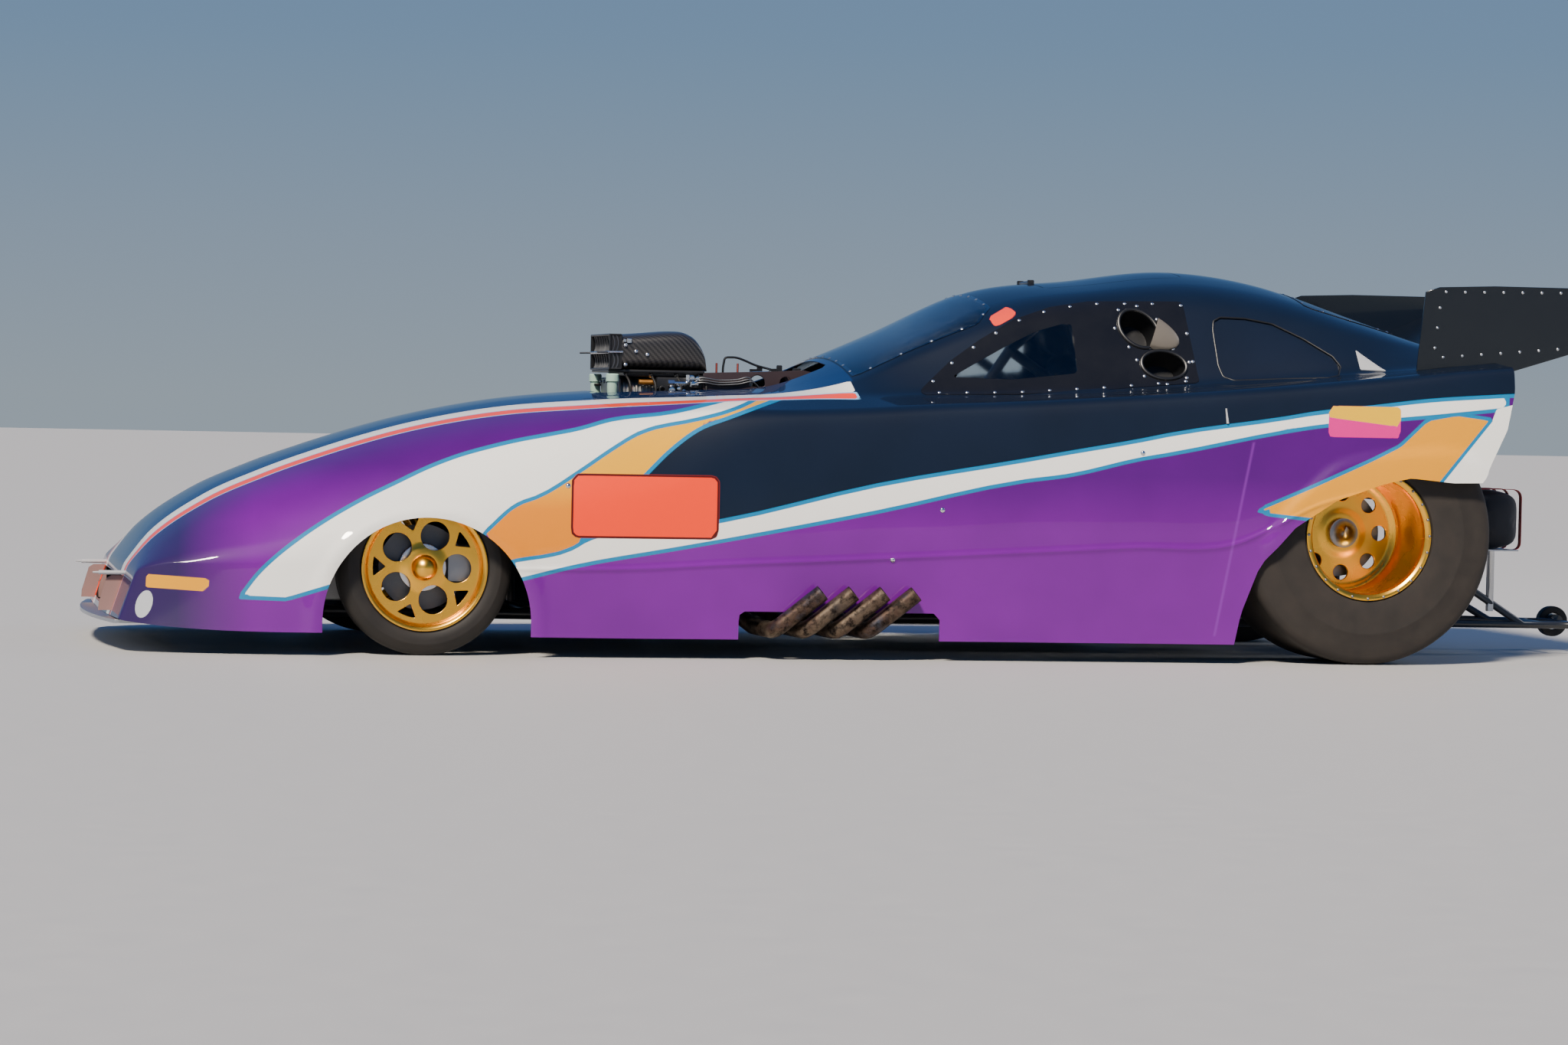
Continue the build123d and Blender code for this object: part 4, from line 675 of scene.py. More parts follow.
REAR_ARCH = outline([(-475, -200), (-475, 40), (-450, 170), (-390, 330), (-275, 460), (-130, 555), (35, 612),
                     (125, 632), (275, 618), (385, 620), (700, 620), (700, -200)], REAR_AXLE)
TAIL = outline([(385, 620), (475, 800), (505, 930), (505, 1400), (900, 1400), (900, 200), (385, 200)], REAR_AXLE)
WINDSHIELD = outline([(1480, -535), (1480, 535), (1900, 512), (1960, 430), (1960, -430), (1900, -512)], FRONT_AXLE)
SIDE_PANEL = outline([(1690, 890), (1800, 985), (1910, 1060), (2030, 1128), (2165, 1174), (2300, 1196),
                      (2450, 1200), (2615, 1203), (2640, 950), (2320, 920), (2000, 897)], FRONT_AXLE)
QUARTER_WINDOW = outline([(-448, 1000), (-452, 1120), (-446, 1152), (-420, 1166), (-330, 1164), (-235, 1148),
                          (-130, 1098), (-40, 1040), (-20, 1005), (-38, 975), (-80, 966), (-220, 960),
                          (-400, 950), (-436, 962)], REAR_AXLE)
REAR_WINDOW = outline([(-60, -400), (-60, 400), (250, 380), (250, -380)], REAR_AXLE)
# Place, half length, half width and tilt of the two oval vents
VENTS = [(2460, 1118, 70, 54, -38), (2535, 996, 74, 44, -4)]
HATCH = (rear(-975), rear(-475), -280, 280)


def seen_from_above(loop, floor):
    """The distance into a loop seen from above, for points higher than floor, as a function of x, y and z."""
    return lambda x, y, z: np.where(z > floor, inside(loop, x, y), OUTSIDE)


def seen_from_the_side(loop):
    """The distance into a loop seen from the side, away from the car's middle, as a function of x, y and z."""
    return lambda x, y, z: np.where(np.abs(y) > 300, inside(loop, x, z), OUTSIDE)


windshield_hole = seen_from_above(WINDSHIELD, 700)
rear_hole = seen_from_above(REAR_WINDOW, 1000)
side_hole = seen_from_the_side(SIDE_PANEL)
quarter_hole = seen_from_the_side(QUARTER_WINDOW)


def hatch_hole(x, y, z):
    """Distance into the roof hatch's opening."""
    return np.where(z > 1100, rectangle(*HATCH, 30, x, y), OUTSIDE)


def hood_hole(x, y, z):
    """Distance into the hood's opening for the engine."""
    return np.where(z > 500, rectangle(front(650), front(1440), -285, 285, 25, x, y), OUTSIDE)


def grille_hole(x, y, z):
    """Distance into the nose's air opening."""
    return np.where(x < front(-700), rectangle(-480, 480, 130, 235, 40, y, z), OUTSIDE)


def exhaust_cut(x, z):
    """Distance into the skirt's cut-out for the exhaust pipes."""
    return rectangle(front(1025), front(1700), -200, 158, 22, x, z)


def open_shell(x, y, z):
    """Positive where the painted shell is: outside every opening."""
    holes = [front_arch(x, z), inside(REAR_ARCH, x, z), inside(TAIL, x, z), windshield_hole(x, y, z),
             side_hole(x, y, z), quarter_hole(x, y, z), rear_hole(x, y, z), hatch_hole(x, y, z),
             hood_hole(x, y, z), grille_hole(x, y, z), exhaust_cut(x, z)]
    return -np.maximum.reduce(holes)


# Camera, floor and light

CAMERA = (-3578, -15541, 830)


def place_camera():
    """A 105 mm lens that looks 12 degrees towards the tail, a little down, and leans a little."""
    turn, dip, lean = math.radians(12), math.radians(1.45), math.radians(1.15)
    d = Vector((math.sin(turn) * math.cos(dip), math.cos(turn) * math.cos(dip), -math.sin(dip)))
    r = Vector((math.cos(turn), -math.sin(turn), 0))
    u = r.cross(d)
    r, u = r * math.cos(lean) + u * math.sin(lean), u * math.cos(lean) - r * math.sin(lean)
    lens = bpy.data.cameras.new("camera")
    lens.lens, lens.sensor_width, lens.clip_end = 105, 36, 200
    camera = bpy.data.objects.new("camera", lens)
    bpy.context.scene.collection.objects.link(camera)
    turned = Matrix((r, u, -d)).transposed().to_4x4()
    camera.matrix_world = Matrix.Translation(Vector(CAMERA) * MM) @ turned
    bpy.context.scene.camera = camera


def light(name, place, aim, size, power, colour="FFFFFF"):
    """A soft square lamp at a place in metres that shines towards aim."""
    lamp = bpy.data.lights.new(name, "AREA")
    lamp.shape, lamp.size, lamp.size_y = "RECTANGLE", *size
    lamp.energy, lamp.color = power, linear(colour)[:3]
    made = bpy.data.objects.new(name, lamp)
    bpy.context.scene.collection.objects.link(made)
    made.location = place
    made.rotation_euler = (Vector(aim) - Vector(place)).to_track_quat("-Z", "Y").to_euler()


def set_stage():
    """A pale floor, a sky that is pale at the horizon and blue overhead, a soft sun and a wide dim lamp."""
    floor = bpy.data.meshes.new("floor")
    reach = 90.0
    floor.from_pydata([(-reach, -reach, 0), (reach, -reach, 0), (reach, reach, 0), (-reach, reach, 0)], [],
                      [(0, 1, 2, 3)])
    ground = bpy.data.objects.new("floor", floor)
    bpy.context.scene.collection.objects.link(ground)
    floor.materials.append(coated("sealed concrete floor", "BEBDBA", 0.6, grain=12, depth=0.1, drift=0.05))
    world = bpy.data.worlds.new("studio")
    bpy.context.scene.world = world
    world.use_nodes = True
    tree = world.node_tree
    up = add(tree, "SeparateXYZ", {0: add(tree, "TexCoord", output="Generated")}, "Z")
    sky = add(tree, "ValToRGB", {0: up}, stops=[
        (0.0, linear("9AA7B2")), (0.08, linear("7592B2")), (0.2, linear("4F7AB0")), (0.5, linear("3564A4")),
        (1.0, linear("264F92"))])
    background = tree.nodes["Background"]
    tree.links.new(sky, background.inputs["Color"])
    background.inputs["Strength"].default_value = 0.95
    sun = bpy.data.lights.new("sun", "SUN")
    sun.energy, sun.angle, sun.color = 6.6, math.radians(9), linear("FFF3E2")[:3]
    made = bpy.data.objects.new("sun", sun)
    bpy.context.scene.collection.objects.link(made)
    made.rotation_euler = Vector((0.42, 0.72, -0.85)).to_track_quat("-Z", "Y").to_euler()
    light("tail side", (9.5, 0.5, 5.5), (1.8, 0, 0.6), (4, 3), 150)


place_camera()
set_stage()


# Livery: painted bands, each as a distance field carried by the skin's points

LIVERY_PLANE = -860
SWOOSH_TOP = [(-600, 185), (-540, 265), (-500, 305), (-395, 390), (-295, 457), (-200, 512), (-105, 560),
              (0, 612), (95, 650), (195, 680), (295, 705), (395, 725), (490, 745), (590, 775), (800, 805),
              (910, 832), (975, 850), (1060, 880), (1100, 900)]
WHITE_TO_YELLOW = [(1130, 890), (1060, 845), (985, 812), (890, 785), (690, 735), (600, 680), (500, 610),
                   (355, 520), (300, 500), (190, 405)]
YELLOW_TO_NAVY = [(1290, 915), (1215, 880), (1100, 835), (985, 790), (895, 755), (805, 690), (710, 595),
                  (495, 372)]
BAND_TOP = [(280, 312), (475, 355), (525, 385), (960, 450), (1495, 578), (1995, 668), (2140, 695),
            (2395, 742), (2490, 762), (2895, 825), (2995, 843), (3200, 868), (3395, 893), (3680, 915)]
BAND_FOOT = [(3680, 870), (3395, 838), (2995, 797), (2895, 780), (2490, 697), (2395, 680), (2140, 620),
             (1995, 600), (1495, 490), (990, 390), (800, 355), (490, 298), (300, 250)]
TAIL_YELLOW = [(2800, 515), (3000, 600), (3200, 690), (3300, 740), (3395, 830), (3500, 850), (3625, 835),
               (3435, 600), (3300, 560), (3045, 480), (2840, 500)]
TAIL_WHITE = [(3435, 610), (3625, 825), (3640, 870), (3760, 900), (3760, 560)]
HOOD_LINE = [(-1150, 428), (-900, 434), (-700, 438), (0, 455), (300, 500), (500, 560), (800, 620),
             (1340, 650), (1460, 668)]


def flowing(points, count=4):
    """A smooth line through flat points, with count steps between each two."""
    points = np.asarray(points, float)
    along = np.concatenate([[0], np.cumsum(np.linalg.norm(np.diff(points, axis=0), axis=1))])
    s = np.interp(np.arange(count * (len(points) - 1) + 1) / count, np.arange(len(points)), along)
    return np.stack([cubic(along, points[:, 0], s), cubic(along, points[:, 1], s)], 1)


def turned(a, b, degrees):
    """Flat coordinates along and across a direction at an angle."""
    c, s = math.cos(math.radians(degrees)), math.sin(math.radians(degrees))
    return a * c + b * s, b * c - a * s


def livery_fields(points):
    """The distance fields of the painted bands at points. Side bands are laid out as seen from the camera's
    place on the plane Y = -860, on both sides alike, and the hood's bands are laid out from above."""
    x, y, z = points.T
    away = np.abs(y)
    share = (LIVERY_PLANE - CAMERA[1]) / (-away - CAMERA[1])
    a = CAMERA[0] + (x - CAMERA[0]) * share - FRONT_AXLE
    b = CAMERA[2] + (z - CAMERA[2]) * share
    swoosh = [*flowing(SWOOSH_TOP), *flowing(WHITE_TO_YELLOW), (150, 300), (-200, 250), (-305, 225),
              (-450, 180)]
    yellow = [*flowing(WHITE_TO_YELLOW), (240, 330), (280, 312), (475, 355), (495, 372),
              *flowing(YELLOW_TO_NAVY)[::-1]]
    navy = [*flowing(YELLOW_TO_NAVY), *flowing(BAND_TOP)[8:], (4200, 950), (4200, 1700), (1250, 1700),
            (1262, 905)]
    band = [*flowing(BAND_TOP), *flowing(BAND_FOOT)]
    line = flowing(HOOD_LINE)
    hood = cubic(line[:, 0], line[:, 1], x - FRONT_AXLE)
    ends = np.minimum(front(1455) - x, (z - 95) * 4.0)
    pink = rectangle(3045, 3300, 765, 870, 10, a, b)
    pillar = rectangle(-48, 48, -18, 18, 6, *turned(x - front(1995), z - 1151, 28))
    amber = rectangle(-100, 100, -21, 21, 6, *turned(a + 799, b - 229, -3.5))
    silver = 44 - np.hypot((a + 904 - 0.2 * (b - 160)) * 1.65, b - 160)
    return {
        "swoosh": inside(swoosh, a, b),
        "yellow": inside(yellow, a, b),
        "navy": inside(navy, a, b),
        "band": inside(band, a, b),
        "tail_yellow": inside(TAIL_YELLOW, a, b),
        "tail_white": inside(TAIL_WHITE, a, b),
        "hood_white": np.minimum(np.minimum(away - hood + 93, hood - away), ends),
        "hood_orange": np.minimum(np.minimum(away - hood, hood + 65 - away), ends),
        "hood_middle": np.minimum(hood - 93 - away, ends),
        "panel_orange": rectangle(470, 960, 390, 600, 26, a, b),
        "panel_pink": pink,
        "panel_wedge": np.minimum(pink, b - 831 + 0.11 * (a - 3045)),
        "panel_pillar": np.where(away > 300, pillar, -300),
        "panel_amber": np.where(x < front(-500), amber, -300),
        "panel_silver": np.where(x < front(-500), silver, -300),
        # Place of the panel joint ahead of the rear wheel, along which paint_finish paints a highlight
        "seam": np.where(away > 700, a - 2741 - 0.19 * (b - 519), 300),
        "side_place": a,
        "height": b,
    }


def within(tree, value, low, high, soft=1.0):
    """1 where value lies between low and high, with an edge of soft millimetres."""
    shifted = add(tree, "Math", {0: value, 1: (low + high) / 2}, operation="SUBTRACT")
    span = add(tree, "Math", {0: shifted}, operation="ABSOLUTE")
    half = (high - low) / 2
    return add(tree, "MapRange", {0: span, 1: half + soft, 2: half - soft, 3: 0, 4: 1})


def paint_finish():
    """Show car paint: base coat with fine flake under a deep clear coat, which gives sharp reflections over a
    soft glow. The bands are cut-vinyl sharp, with teal pinstripes along them."""
    material, tree, shader = finish_of("clear coated show paint", {
        "Roughness": 0.5, "Specular IOR Level": 0.12, "Coat Weight": 0.85, "Coat Roughness": 0.03,
        "Coat IOR": 1.46})
    side, height, seam = [add(tree, "Attribute", output="Fac", attribute_name=name)
                          for name in ("side_place", "height", "seam")]
    place = add(tree, "TexCoord", output="Object")
    drift, flake, peel = [add(tree, "TexNoise", {"Vector": place, "Scale": 1000 / size, "Detail": 2.0,
                                                 "Roughness": rough})
                          for size, rough in ((260, 0.5), (1.6, 0.7), (9, 0.5))]
    purple, dark_purple, navy, hood_blue = [
        add(tree, "Mix", {0: drift, 6: linear(one), 7: linear(two)}, 2, data_type="RGBA")
        for one, two in (("60007A", "740290"), ("480064", "560074"), ("0A1220", "0F1A2C"), ("0E2448", "152F5A"))]
    low, far, gold = [add(tree, "MapRange", {0: value, 1: start, 2: end, 3: 0, 4: top})
                      for value, start, end, top in ((height, 430, 620, 1), (side, -560, -800, 0.85),
                                                     (height, 480, 600, 1))]
    white, teal, orange = linear("F4F3EC"), linear("0078A8"), linear("FF4218")
    deep = add(tree, "Mix", {0: low, 6: purple, 7: dark_purple}, 2, data_type="RGBA")
    colour = add(tree, "Mix", {0: far, 6: deep, 7: linear("16203F")}, 2, data_type="RGBA")
    yellow = add(tree, "Mix", {0: gold, 6: linear("E28400"), 7: linear("ECA800")}, 2, data_type="RGBA")
    far_in = 1e5
    layers = [("navy", 0, far_in, navy),
              ("yellow", 0, far_in, yellow),
              ("swoosh", 0, far_in, white),
              ("swoosh", -6.5, 6.5, teal),
              ("navy", -6.5, 6.5, teal),
              ("band", 0, far_in, white),
              ("band", -6.5, 6.5, teal),
              ("tail_yellow", 0, far_in, linear("E89A00")),
              ("tail_white", 0, far_in, white),
              ("tail_yellow", -6, 6, teal),
              ("hood_middle", -8, far_in, hood_blue),
              ("hood_white", 0, far_in, white),
              ("hood_orange", 0, far_in, orange),
              ("hood_orange", -4, 4, linear("8FC4EA")),
              ("panel_orange", 0, far_in, linear("FF3A00")),
              ("panel_orange", 0, 7, linear("4A0C06")),
              ("panel_pink", 0, far_in, linear("E00F86")),
              ("panel_wedge", 0, far_in, linear("EDB600")),
              ("panel_pillar", 0, far_in, linear("F2452E")),
              ("panel_amber", 0, far_in, linear("E89E00")),
              ("panel_silver", 0, far_in, linear("B9BDC2"))]
    for name, start, end, tone in layers:
        mask = within(tree, add(tree, "Attribute", output="Fac", attribute_name=name), start, end)
        colour = add(tree, "Mix", {0: mask, 6: colour, 7: tone}, 2, data_type="RGBA")
    # A painted highlight: the raised panel joint ahead of the rear wheel catches light, drawn here as a lighter
    # purple line
    seam_highlight = add(tree, "Math", {0: within(tree, seam, -4, 4, 3.5), 1: within(tree, height, 90, 742, 4)},
                operation="MULTIPLY")
    seam_highlight = add(tree, "Math", {0: seam_highlight, 1: 0.4}, operation="MULTIPLY")
    plug(tree, shader, {
        "Base Color": add(tree, "Mix", {0: seam_highlight, 6: colour, 7: linear("9038B4")}, 2, data_type="RGBA"),
        "Roughness": add(tree, "MapRange", {0: flake, 3: 0.4, 4: 0.58}),
        "Normal": add(tree, "Bump", {"Height": peel, "Strength": 0.1, "Distance": 0.1 * MM})})
    return material


def carry(piece, fields):
    """Put named fields on a piece's points."""
    for name, values in fields.items():
        made = piece.data.attributes.new(name, "FLOAT", "POINT")
        made.data.foreach_set("value", np.asarray(values, np.float32))


def thicken(piece, depth, inner=None):
    """Give a sheet its wall, set inwards, with another finish for its back when given. The wall is made real
    at once, so that its rim can be marked sharp."""
    if inner:
        piece.data.materials.append(inner)
    wall = piece.modifiers.new("wall", "SOLIDIFY")
    wall.thickness, wall.offset = depth * MM, -1
    wall.material_offset = 1 if inner else 0
    wall.material_offset_rim = 0
    wall.use_even_offset = False
    graph = bpy.context.evaluated_depsgraph_get()
    sheet, name = piece.data, piece.data.name
    solid = bpy.data.meshes.new_from_object(piece.evaluated_get(graph), preserve_all_data_layers=True,
                                            depsgraph=graph)
    piece.modifiers.clear()
    piece.data = solid
    bpy.data.meshes.remove(sheet)
    solid.name = name
    solid.set_sharp_from_angle(angle=math.radians(50))


# Finishes

PAINT = paint_finish()
LINER = coated("bare composite inner skin", "23262B", 0.55, grain=2.2, depth=0.25, drift=0.3)
TRIM = coated("satin black moulding", "101114", 0.42, grain=2.5, depth=0.04)


# The painted skin

CELL = 20
SKIN_U = np.concatenate([spread([front(-1000) - CAP_LENGTH, front(-1000)], 12)[:-1],
                         spread([front(-1000), front(-880)], 8)[:-1],
                         spread([front(-880), front(650), front(1440), rear(520)], CELL)])
SKIN_T = t_values(CELL)


def make_skin():
    """The whole painted shell as one sheet with its wall."""
    shape = welded(trimmed(SKIN_U, SKIN_T, open_shell))
    skin = make("body_skin", shape, PAINT, "body_shell",
                ["front_clip", "hood_and_fenders", "cabin_shell", "rear_quarters"], sharp=50)
    carry(skin, livery_fields(shape[0]))
    thicken(skin, 3, LINER)


make_skin()


# Panels, windows, vents and rivets on the skin


def patch(name, hole, overlap, offset, step, span, material, body, stands_for=(), wall=0, inner=None):
    """A panel that follows the shell inside an opening, wider than it by the overlap, and lifted by the
    offset. span is the stretch of x and of t that it is looked for in."""
    us, ts = spread(span[:2], step), t_values(step)
    ts = ts[(ts >= span[2]) & (ts <= span[3])]
    shape = trimmed(us, ts, lambda x, y, z: hole(x, y, z) + overlap, offset)
    piece = make(name, shape, material, body, stands_for, sharp=60)
    carry(piece, livery_fields(shape[0]))
    if wall:
        thicken(piece, wall, inner)
    return piece


def on_side(x, z, side):
    """Place (u, t) on the flank at x and height z, by halving the stretch between belt and skirt or the cabin
    side."""
    x, z = np.asarray(x, float), np.asarray(z, float)
    low, high = np.full(x.shape, 0.8), np.full(x.shape, 4.95)
    for _ in range(26):
        t = (low + high) / 2
        above = shell(x, t)[..., 2] > z
        low, high = np.where(above, t, low), np.where(above, high, t)
    return x, side * (low + high) / 2


def on_top(x, y):
    """Place (u, t) on the roof or hood at x and across y."""
    x, y = np.asarray(x, float), np.asarray(y, float)
    low, high = np.zeros(x.shape), np.full(x.shape, 2.4)
    for _ in range(26):
        t = (low + high) / 2
        inner = shell(x, t)[..., 1] < np.abs(y)
        low, high = np.where(inner, t, low), np.where(inner, high, t)
    return x, np.sign(y) * (low + high) / 2


def walked(loop, pitch, out=0.0, closed=True):
    """Points every pitch millimetres along a loop, moved outwards from it by out."""
    loop = np.asarray(loop, float)
    if closed:
        loop = np.concatenate([loop, loop[:1]])
    steps = np.diff(loop, axis=0)
    length = np.linalg.norm(steps, axis=1)
    along = np.concatenate([[0], np.cumsum(length)])
    count = max(2, round(along[-1] / pitch))
    s = (np.arange(count) + 0.5) * along[-1] / count
    k = np.clip(np.searchsorted(along, s) - 1, 0, len(length) - 1)
    at = loop[k] + steps[k] * ((s - along[k]) / length[k])[:, None]
    turn = np.sign(sum(a[0] * b[1] - a[1] * b[0] for a, b in zip(loop, loop[1:]))) if closed else 1
    outward = np.stack([steps[k, 1], -steps[k, 0]], 1) / length[k][:, None] * turn
    return at + outward * out


def rivets(name, spots, body, radius=6.0, rise=2.2, material=None, lift=0.0):
    """Rivet heads on the shell at places (u, t)."""
    u, t = [np.concatenate([spot[k] for spot in spots]) for k in (0, 1)]
    normal = shell_normal(u, t)
    heads = domes(shell(u, t) + normal * lift, normal, radius, rise)
    return make(name, heads, material or RIVET, body)


# Polycarbonate sheet, extruded and clear: sharp gloss with faint wipe marks
GLASS = drifting("clear polycarbonate sheet", {
    "Base Color": linear("F2F4F2"), "Roughness": 0.04, "IOR": 1.45, "Transmission Weight": 1.0},
    gloss=((40, 4.0, 0.7), 0.02, 0.12))[0]
# The same sheet backed with black: deep gloss with dust and fine scratches
SMOKED = drifting("black backed polycarbonate", {"Roughness": 0.2, "IOR": 1.5},
                  ((120, 4.0, 0.5), linear("101114"), linear("1C1C1E")), ((60, 4.0, 0.6), 0.12, 0.24),
                  ((220, 1.0, 0.5), 0.1, 0.6))[0]
# Bare metals. The smoother the process, the tighter the highlights; the drift of tone is handling and dust
RIVET = metal("pressed aluminium rivet heads", "D9DBDD", "A9ACB0", 0.3, 1.0)
SILVER = metal("bright anodised aluminium", "DADCDF", "A6A9AD", 0.24, 1.5)
CAST = metal("cast aluminium", "A9A9A6", "7C7C7A", 0.46, 1.4)
POLISHED = metal("polished aluminium", "E4E5E7", "B9BBBE", 0.16, 3.0)
STEEL = metal("ground steel", "9A9CA0", "5D6065", 0.36, 1.2)
# Dark steel: on the front hubs, part of its darkness is painted shade inside the wheels
DARK_STEEL = metal("dark steel with painted wheel shade", "66686C", "303236", 0.42, 1.2)
BRAID = metal("braided steel hose", "8E8F91", "3C3D40", 0.42, 1.2)
# Brushed along the car, so that its highlights stretch across the brush marks
SHEET = metal("brushed aluminium sheet", "C4C6C9", "93969A", 0.34, 1.0, (0.06, 1, 1))
# Dyed oxide layers: the metal's shine with the dye's colour
AMBER_METAL = metal("amber anodised aluminium", "FFB25A", "E88F35", 0.34, 1.0)
RED_METAL = metal("red anodised aluminium", "D8685A", "B04A3E", 0.34, 1.0)
GOLD = metal("gold anodised magnesium wheel", "FFC34A", "E39C28", 0.26, 2.0)
# Powder coats and dull anodising: soft highlights over a fine orange peel
BLACK_METAL = coated("black powder coat on steel", "141518", 0.38, grain=1.6, depth=0.05)
TUBE = coated("charcoal powder coat on steel tube", "24262A", 0.34, grain=1.8, depth=0.05, coat=0.3)
PLATE = coated("dark brown anodised plate", "33262A", 0.45, grain=1.5, depth=0.04)
# Moulded plastics: broad soft highlights, with the mould's fine grain
SEA = coated("pale green moulded plastic", "A9CDB9", 0.42, grain=2, depth=0.03)
PALE = coated("pale grey moulded plastic", "B4B6B8", 0.45, grain=2, depth=0.03)
DUCT = coated("grey moulded duct plastic", "6B655C", 0.38, grain=2.5, depth=0.05)
# Composite: matt where bare, and on the nose flanges its pinkish brown is a painted reflection; deep and
# mirror-like where painted
FLANGE_PAINTED_REFLECTION = coated("composite flange with painted reflection", "8C6C66", 0.55, grain=2, depth=0.05)
GLOSS_BLACK = coated("gloss black paint on carbon panel", "0C0D10", 0.2, grain=4, depth=0.03, coat=0.8)


def rubber(name, tone, dust, rough):
    """Moulded racing rubber: matt, a little brown with dust on the tread, with fine grain."""
    wide = (70, 4.0, 0.6)
    return drifting(name, {"Roughness": rough, "Specular IOR Level": 0.35}, (wide, linear(tone), linear(dust)),
                    (wide, rough * 0.8, min(1, rough * 1.15)), ((1.6, 3.0, 0.6), 0.35, 0.2))[0]


RUBBER = rubber("moulded tyre rubber", "161514", "2C2825", 0.62)
SLICK_RUBBER = rubber("soft slick rubber", "1A1817", "38322D", 0.78)
HOSE_RUBBER = rubber("belt and hose rubber", "111111", "232222", 0.55)


def add_windows():
    """The clear and dark windows, the hatch, the vents and the quarter panels."""
    near_clear = outline([(1790, 940), (1870, 984), (1990, 1049), (2100, 1102), (2190, 1128), (2226, 1128),
                          (2230, 962), (2000, 936)], FRONT_AXLE)
    far_clear = outline([(1790, 940), (1870, 984), (1990, 1049), (2100, 1102), (2190, 1135), (2345, 1150),
                         (2362, 1060), (2366, 975), (2000, 936)], FRONT_AXLE)

    def clear_hole(x, y, z):
        clear = np.where(y < 0, inside(near_clear, x, z), inside(far_clear, x, z))
        return np.where(np.abs(y) > 300, clear, OUTSIDE)

    def vents(x, z):
        depth = []
        for a, b, long, wide, tilt in VENTS:
            p, q = turned(x - front(a), z - b, tilt)
            depth.append((1 - np.hypot(p / long, q / wide)) * wide)
        return np.maximum.reduce(depth)

    shield = (front(1450), front(1990), -2.1, 2.1)
    patch("windshield_sheet", windshield_hole, 12, 2.2, 20, shield, GLASS, "body_shell",
          ["windshield"], 2)
    patch("rear_window_sheet", rear_hole, 12, 2.2, 20, (rear(-90), rear(280), -2.1, 2.1), SMOKED,
          "body_shell", ["rear_window"], 2)
    for side, s in SIDES:
        def own(y):
            return np.where(y * s > 0, 0.0, -900.0)

        def dark(x, y, z):
            solid = np.minimum(side_hole(x, y, z) + 12, -clear_hole(x, y, z))
            return np.minimum(solid, -vents(x, z)) + own(y)

        flank = sorted((0.9 * s, 2.6 * s))
        span = (front(1670), front(2660), *flank)
        patch("side_panel_" + side, dark, 0, 2.2, 10, span, SMOKED, "body_shell",
              ["side_window_" + side], 2)
        patch("side_window_clear_" + side, lambda x, y, z: clear_hole(x, y, z) - 0.2 + own(y), 0, 1.9, 10,
              span, GLASS, "body_shell", (), 1.6)
        patch("quarter_panel_" + side, lambda x, y, z: quarter_hole(x, y, z) - 0.4 + own(y), 0, -5, 10,
              (rear(-460), rear(-30), *flank), PAINT, "body_shell",
              ["quarter_windows"] if s < 0 else (), 3, LINER)
    patch("hatch_panel", hatch_hole, -3.5, 0, 10, (rear(-1000), rear(-450), -1.1, 1.1), PAINT, "roof_hatch",
          ["roof_hatch"], 4.5, LINER)


def add_panel_trim():
    """Rivet rows, vent rings, hatch hinge, window frames and the small clear vents."""
    spots, frames, rims, scoops = [], [], [], []
    for _, s in SIDES:
        at = walked(SIDE_PANEL, 96, 4)
        spots.append(on_side(at[:, 0], at[:, 1], s))
        for vent in VENTS:
            spots.append(on_side(*oval(vent, 20, 7), s))
            u, t = on_side(*oval(vent, 4, 48), s)
            rims.append(ring_tube(shell(u, t) + 3.0 * shell_normal(u, t), 6.5))
            scoops.append(cup(vent, s))
        line = walked(QUARTER_WINDOW, 8, 0)
        u, t = on_side(line[:, 0], line[:, 1], s)
        frames.append(ring_tube(shell(u, t) - 1.4 * shell_normal(u, t), 3.4))
    rivets("panel_rivets", spots, "body_shell", 6, 2.4, lift=2.2)
    make("vent_rings", rims, BLACK_METAL, "body_shell")
    make("vent_cups", scoops, TRIM, "body_shell")
    for side, s in SIDES:
        fairing = make("vent_fairing_" + side, teardrop(s), DUCT, "body_shell")
        thicken(fairing, 2)
    make("quarter_frames", frames, TRIM, "body_shell")
    at, back = walked(WINDSHIELD, 105, 5), walked(REAR_WINDOW, 105, 5)
    rivets("window_rivets", [on_top(at[:, 0], at[:, 1]), on_top(back[:, 0], back[:, 1])], "body_shell",
           5.5, 2.2, lift=2.2)
    pins = []
    for x, z in ((1535, 332), (1700, 500), (2380, 700), (455, 560)):
        for _, s in SIDES:
            pins.append(on_side(np.array([front(x)]), np.array([z]), s))
    rivets("body_pins", pins, "body_shell", 9, 5, POLISHED)
    bars = []
    for _, s in SIDES:
        u, t = on_side(front(np.array([2667.0, 2671.0])), np.array([853.0, 803.0]), s)
        bars.append(pipe(shell(u, t) + 2.5 * shell_normal(u, t), (2.5, 4.5), 14))
    make("side_latches", bars, PALE, "body_shell", sharp=35)
    wedges = []
    for _, s in SIDES:
        loop = walked(np.array([(front(3222), 1062), (front(3300), 992), (front(3218), 994)]), 6, 0)
        u, t = on_side(loop[:, 0], loop[:, 1], s)
        edge = shell(u, t) + 2.5 * shell_normal(u, t)
        wedges.append(capped(edge, shell(u, t) - 1.0 * shell_normal(u, t), s))
    make("vent_wedges", wedges, PALE, "body_shell", sharp=30)
    x, z = 574, 1278.96
    make("hatch_barrel", pipe([(x, -60, z), (x, 60, z)], 8, 20), STEEL, "roof_hatch", sharp=30)
    lugs = [box_of((x - 11, y - 9, z - 26), (x + 11, y + 9, z + 11), 3) for y in (-70, 70)]
    make("hatch_lugs", lugs, BLACK_METAL, "body_shell")


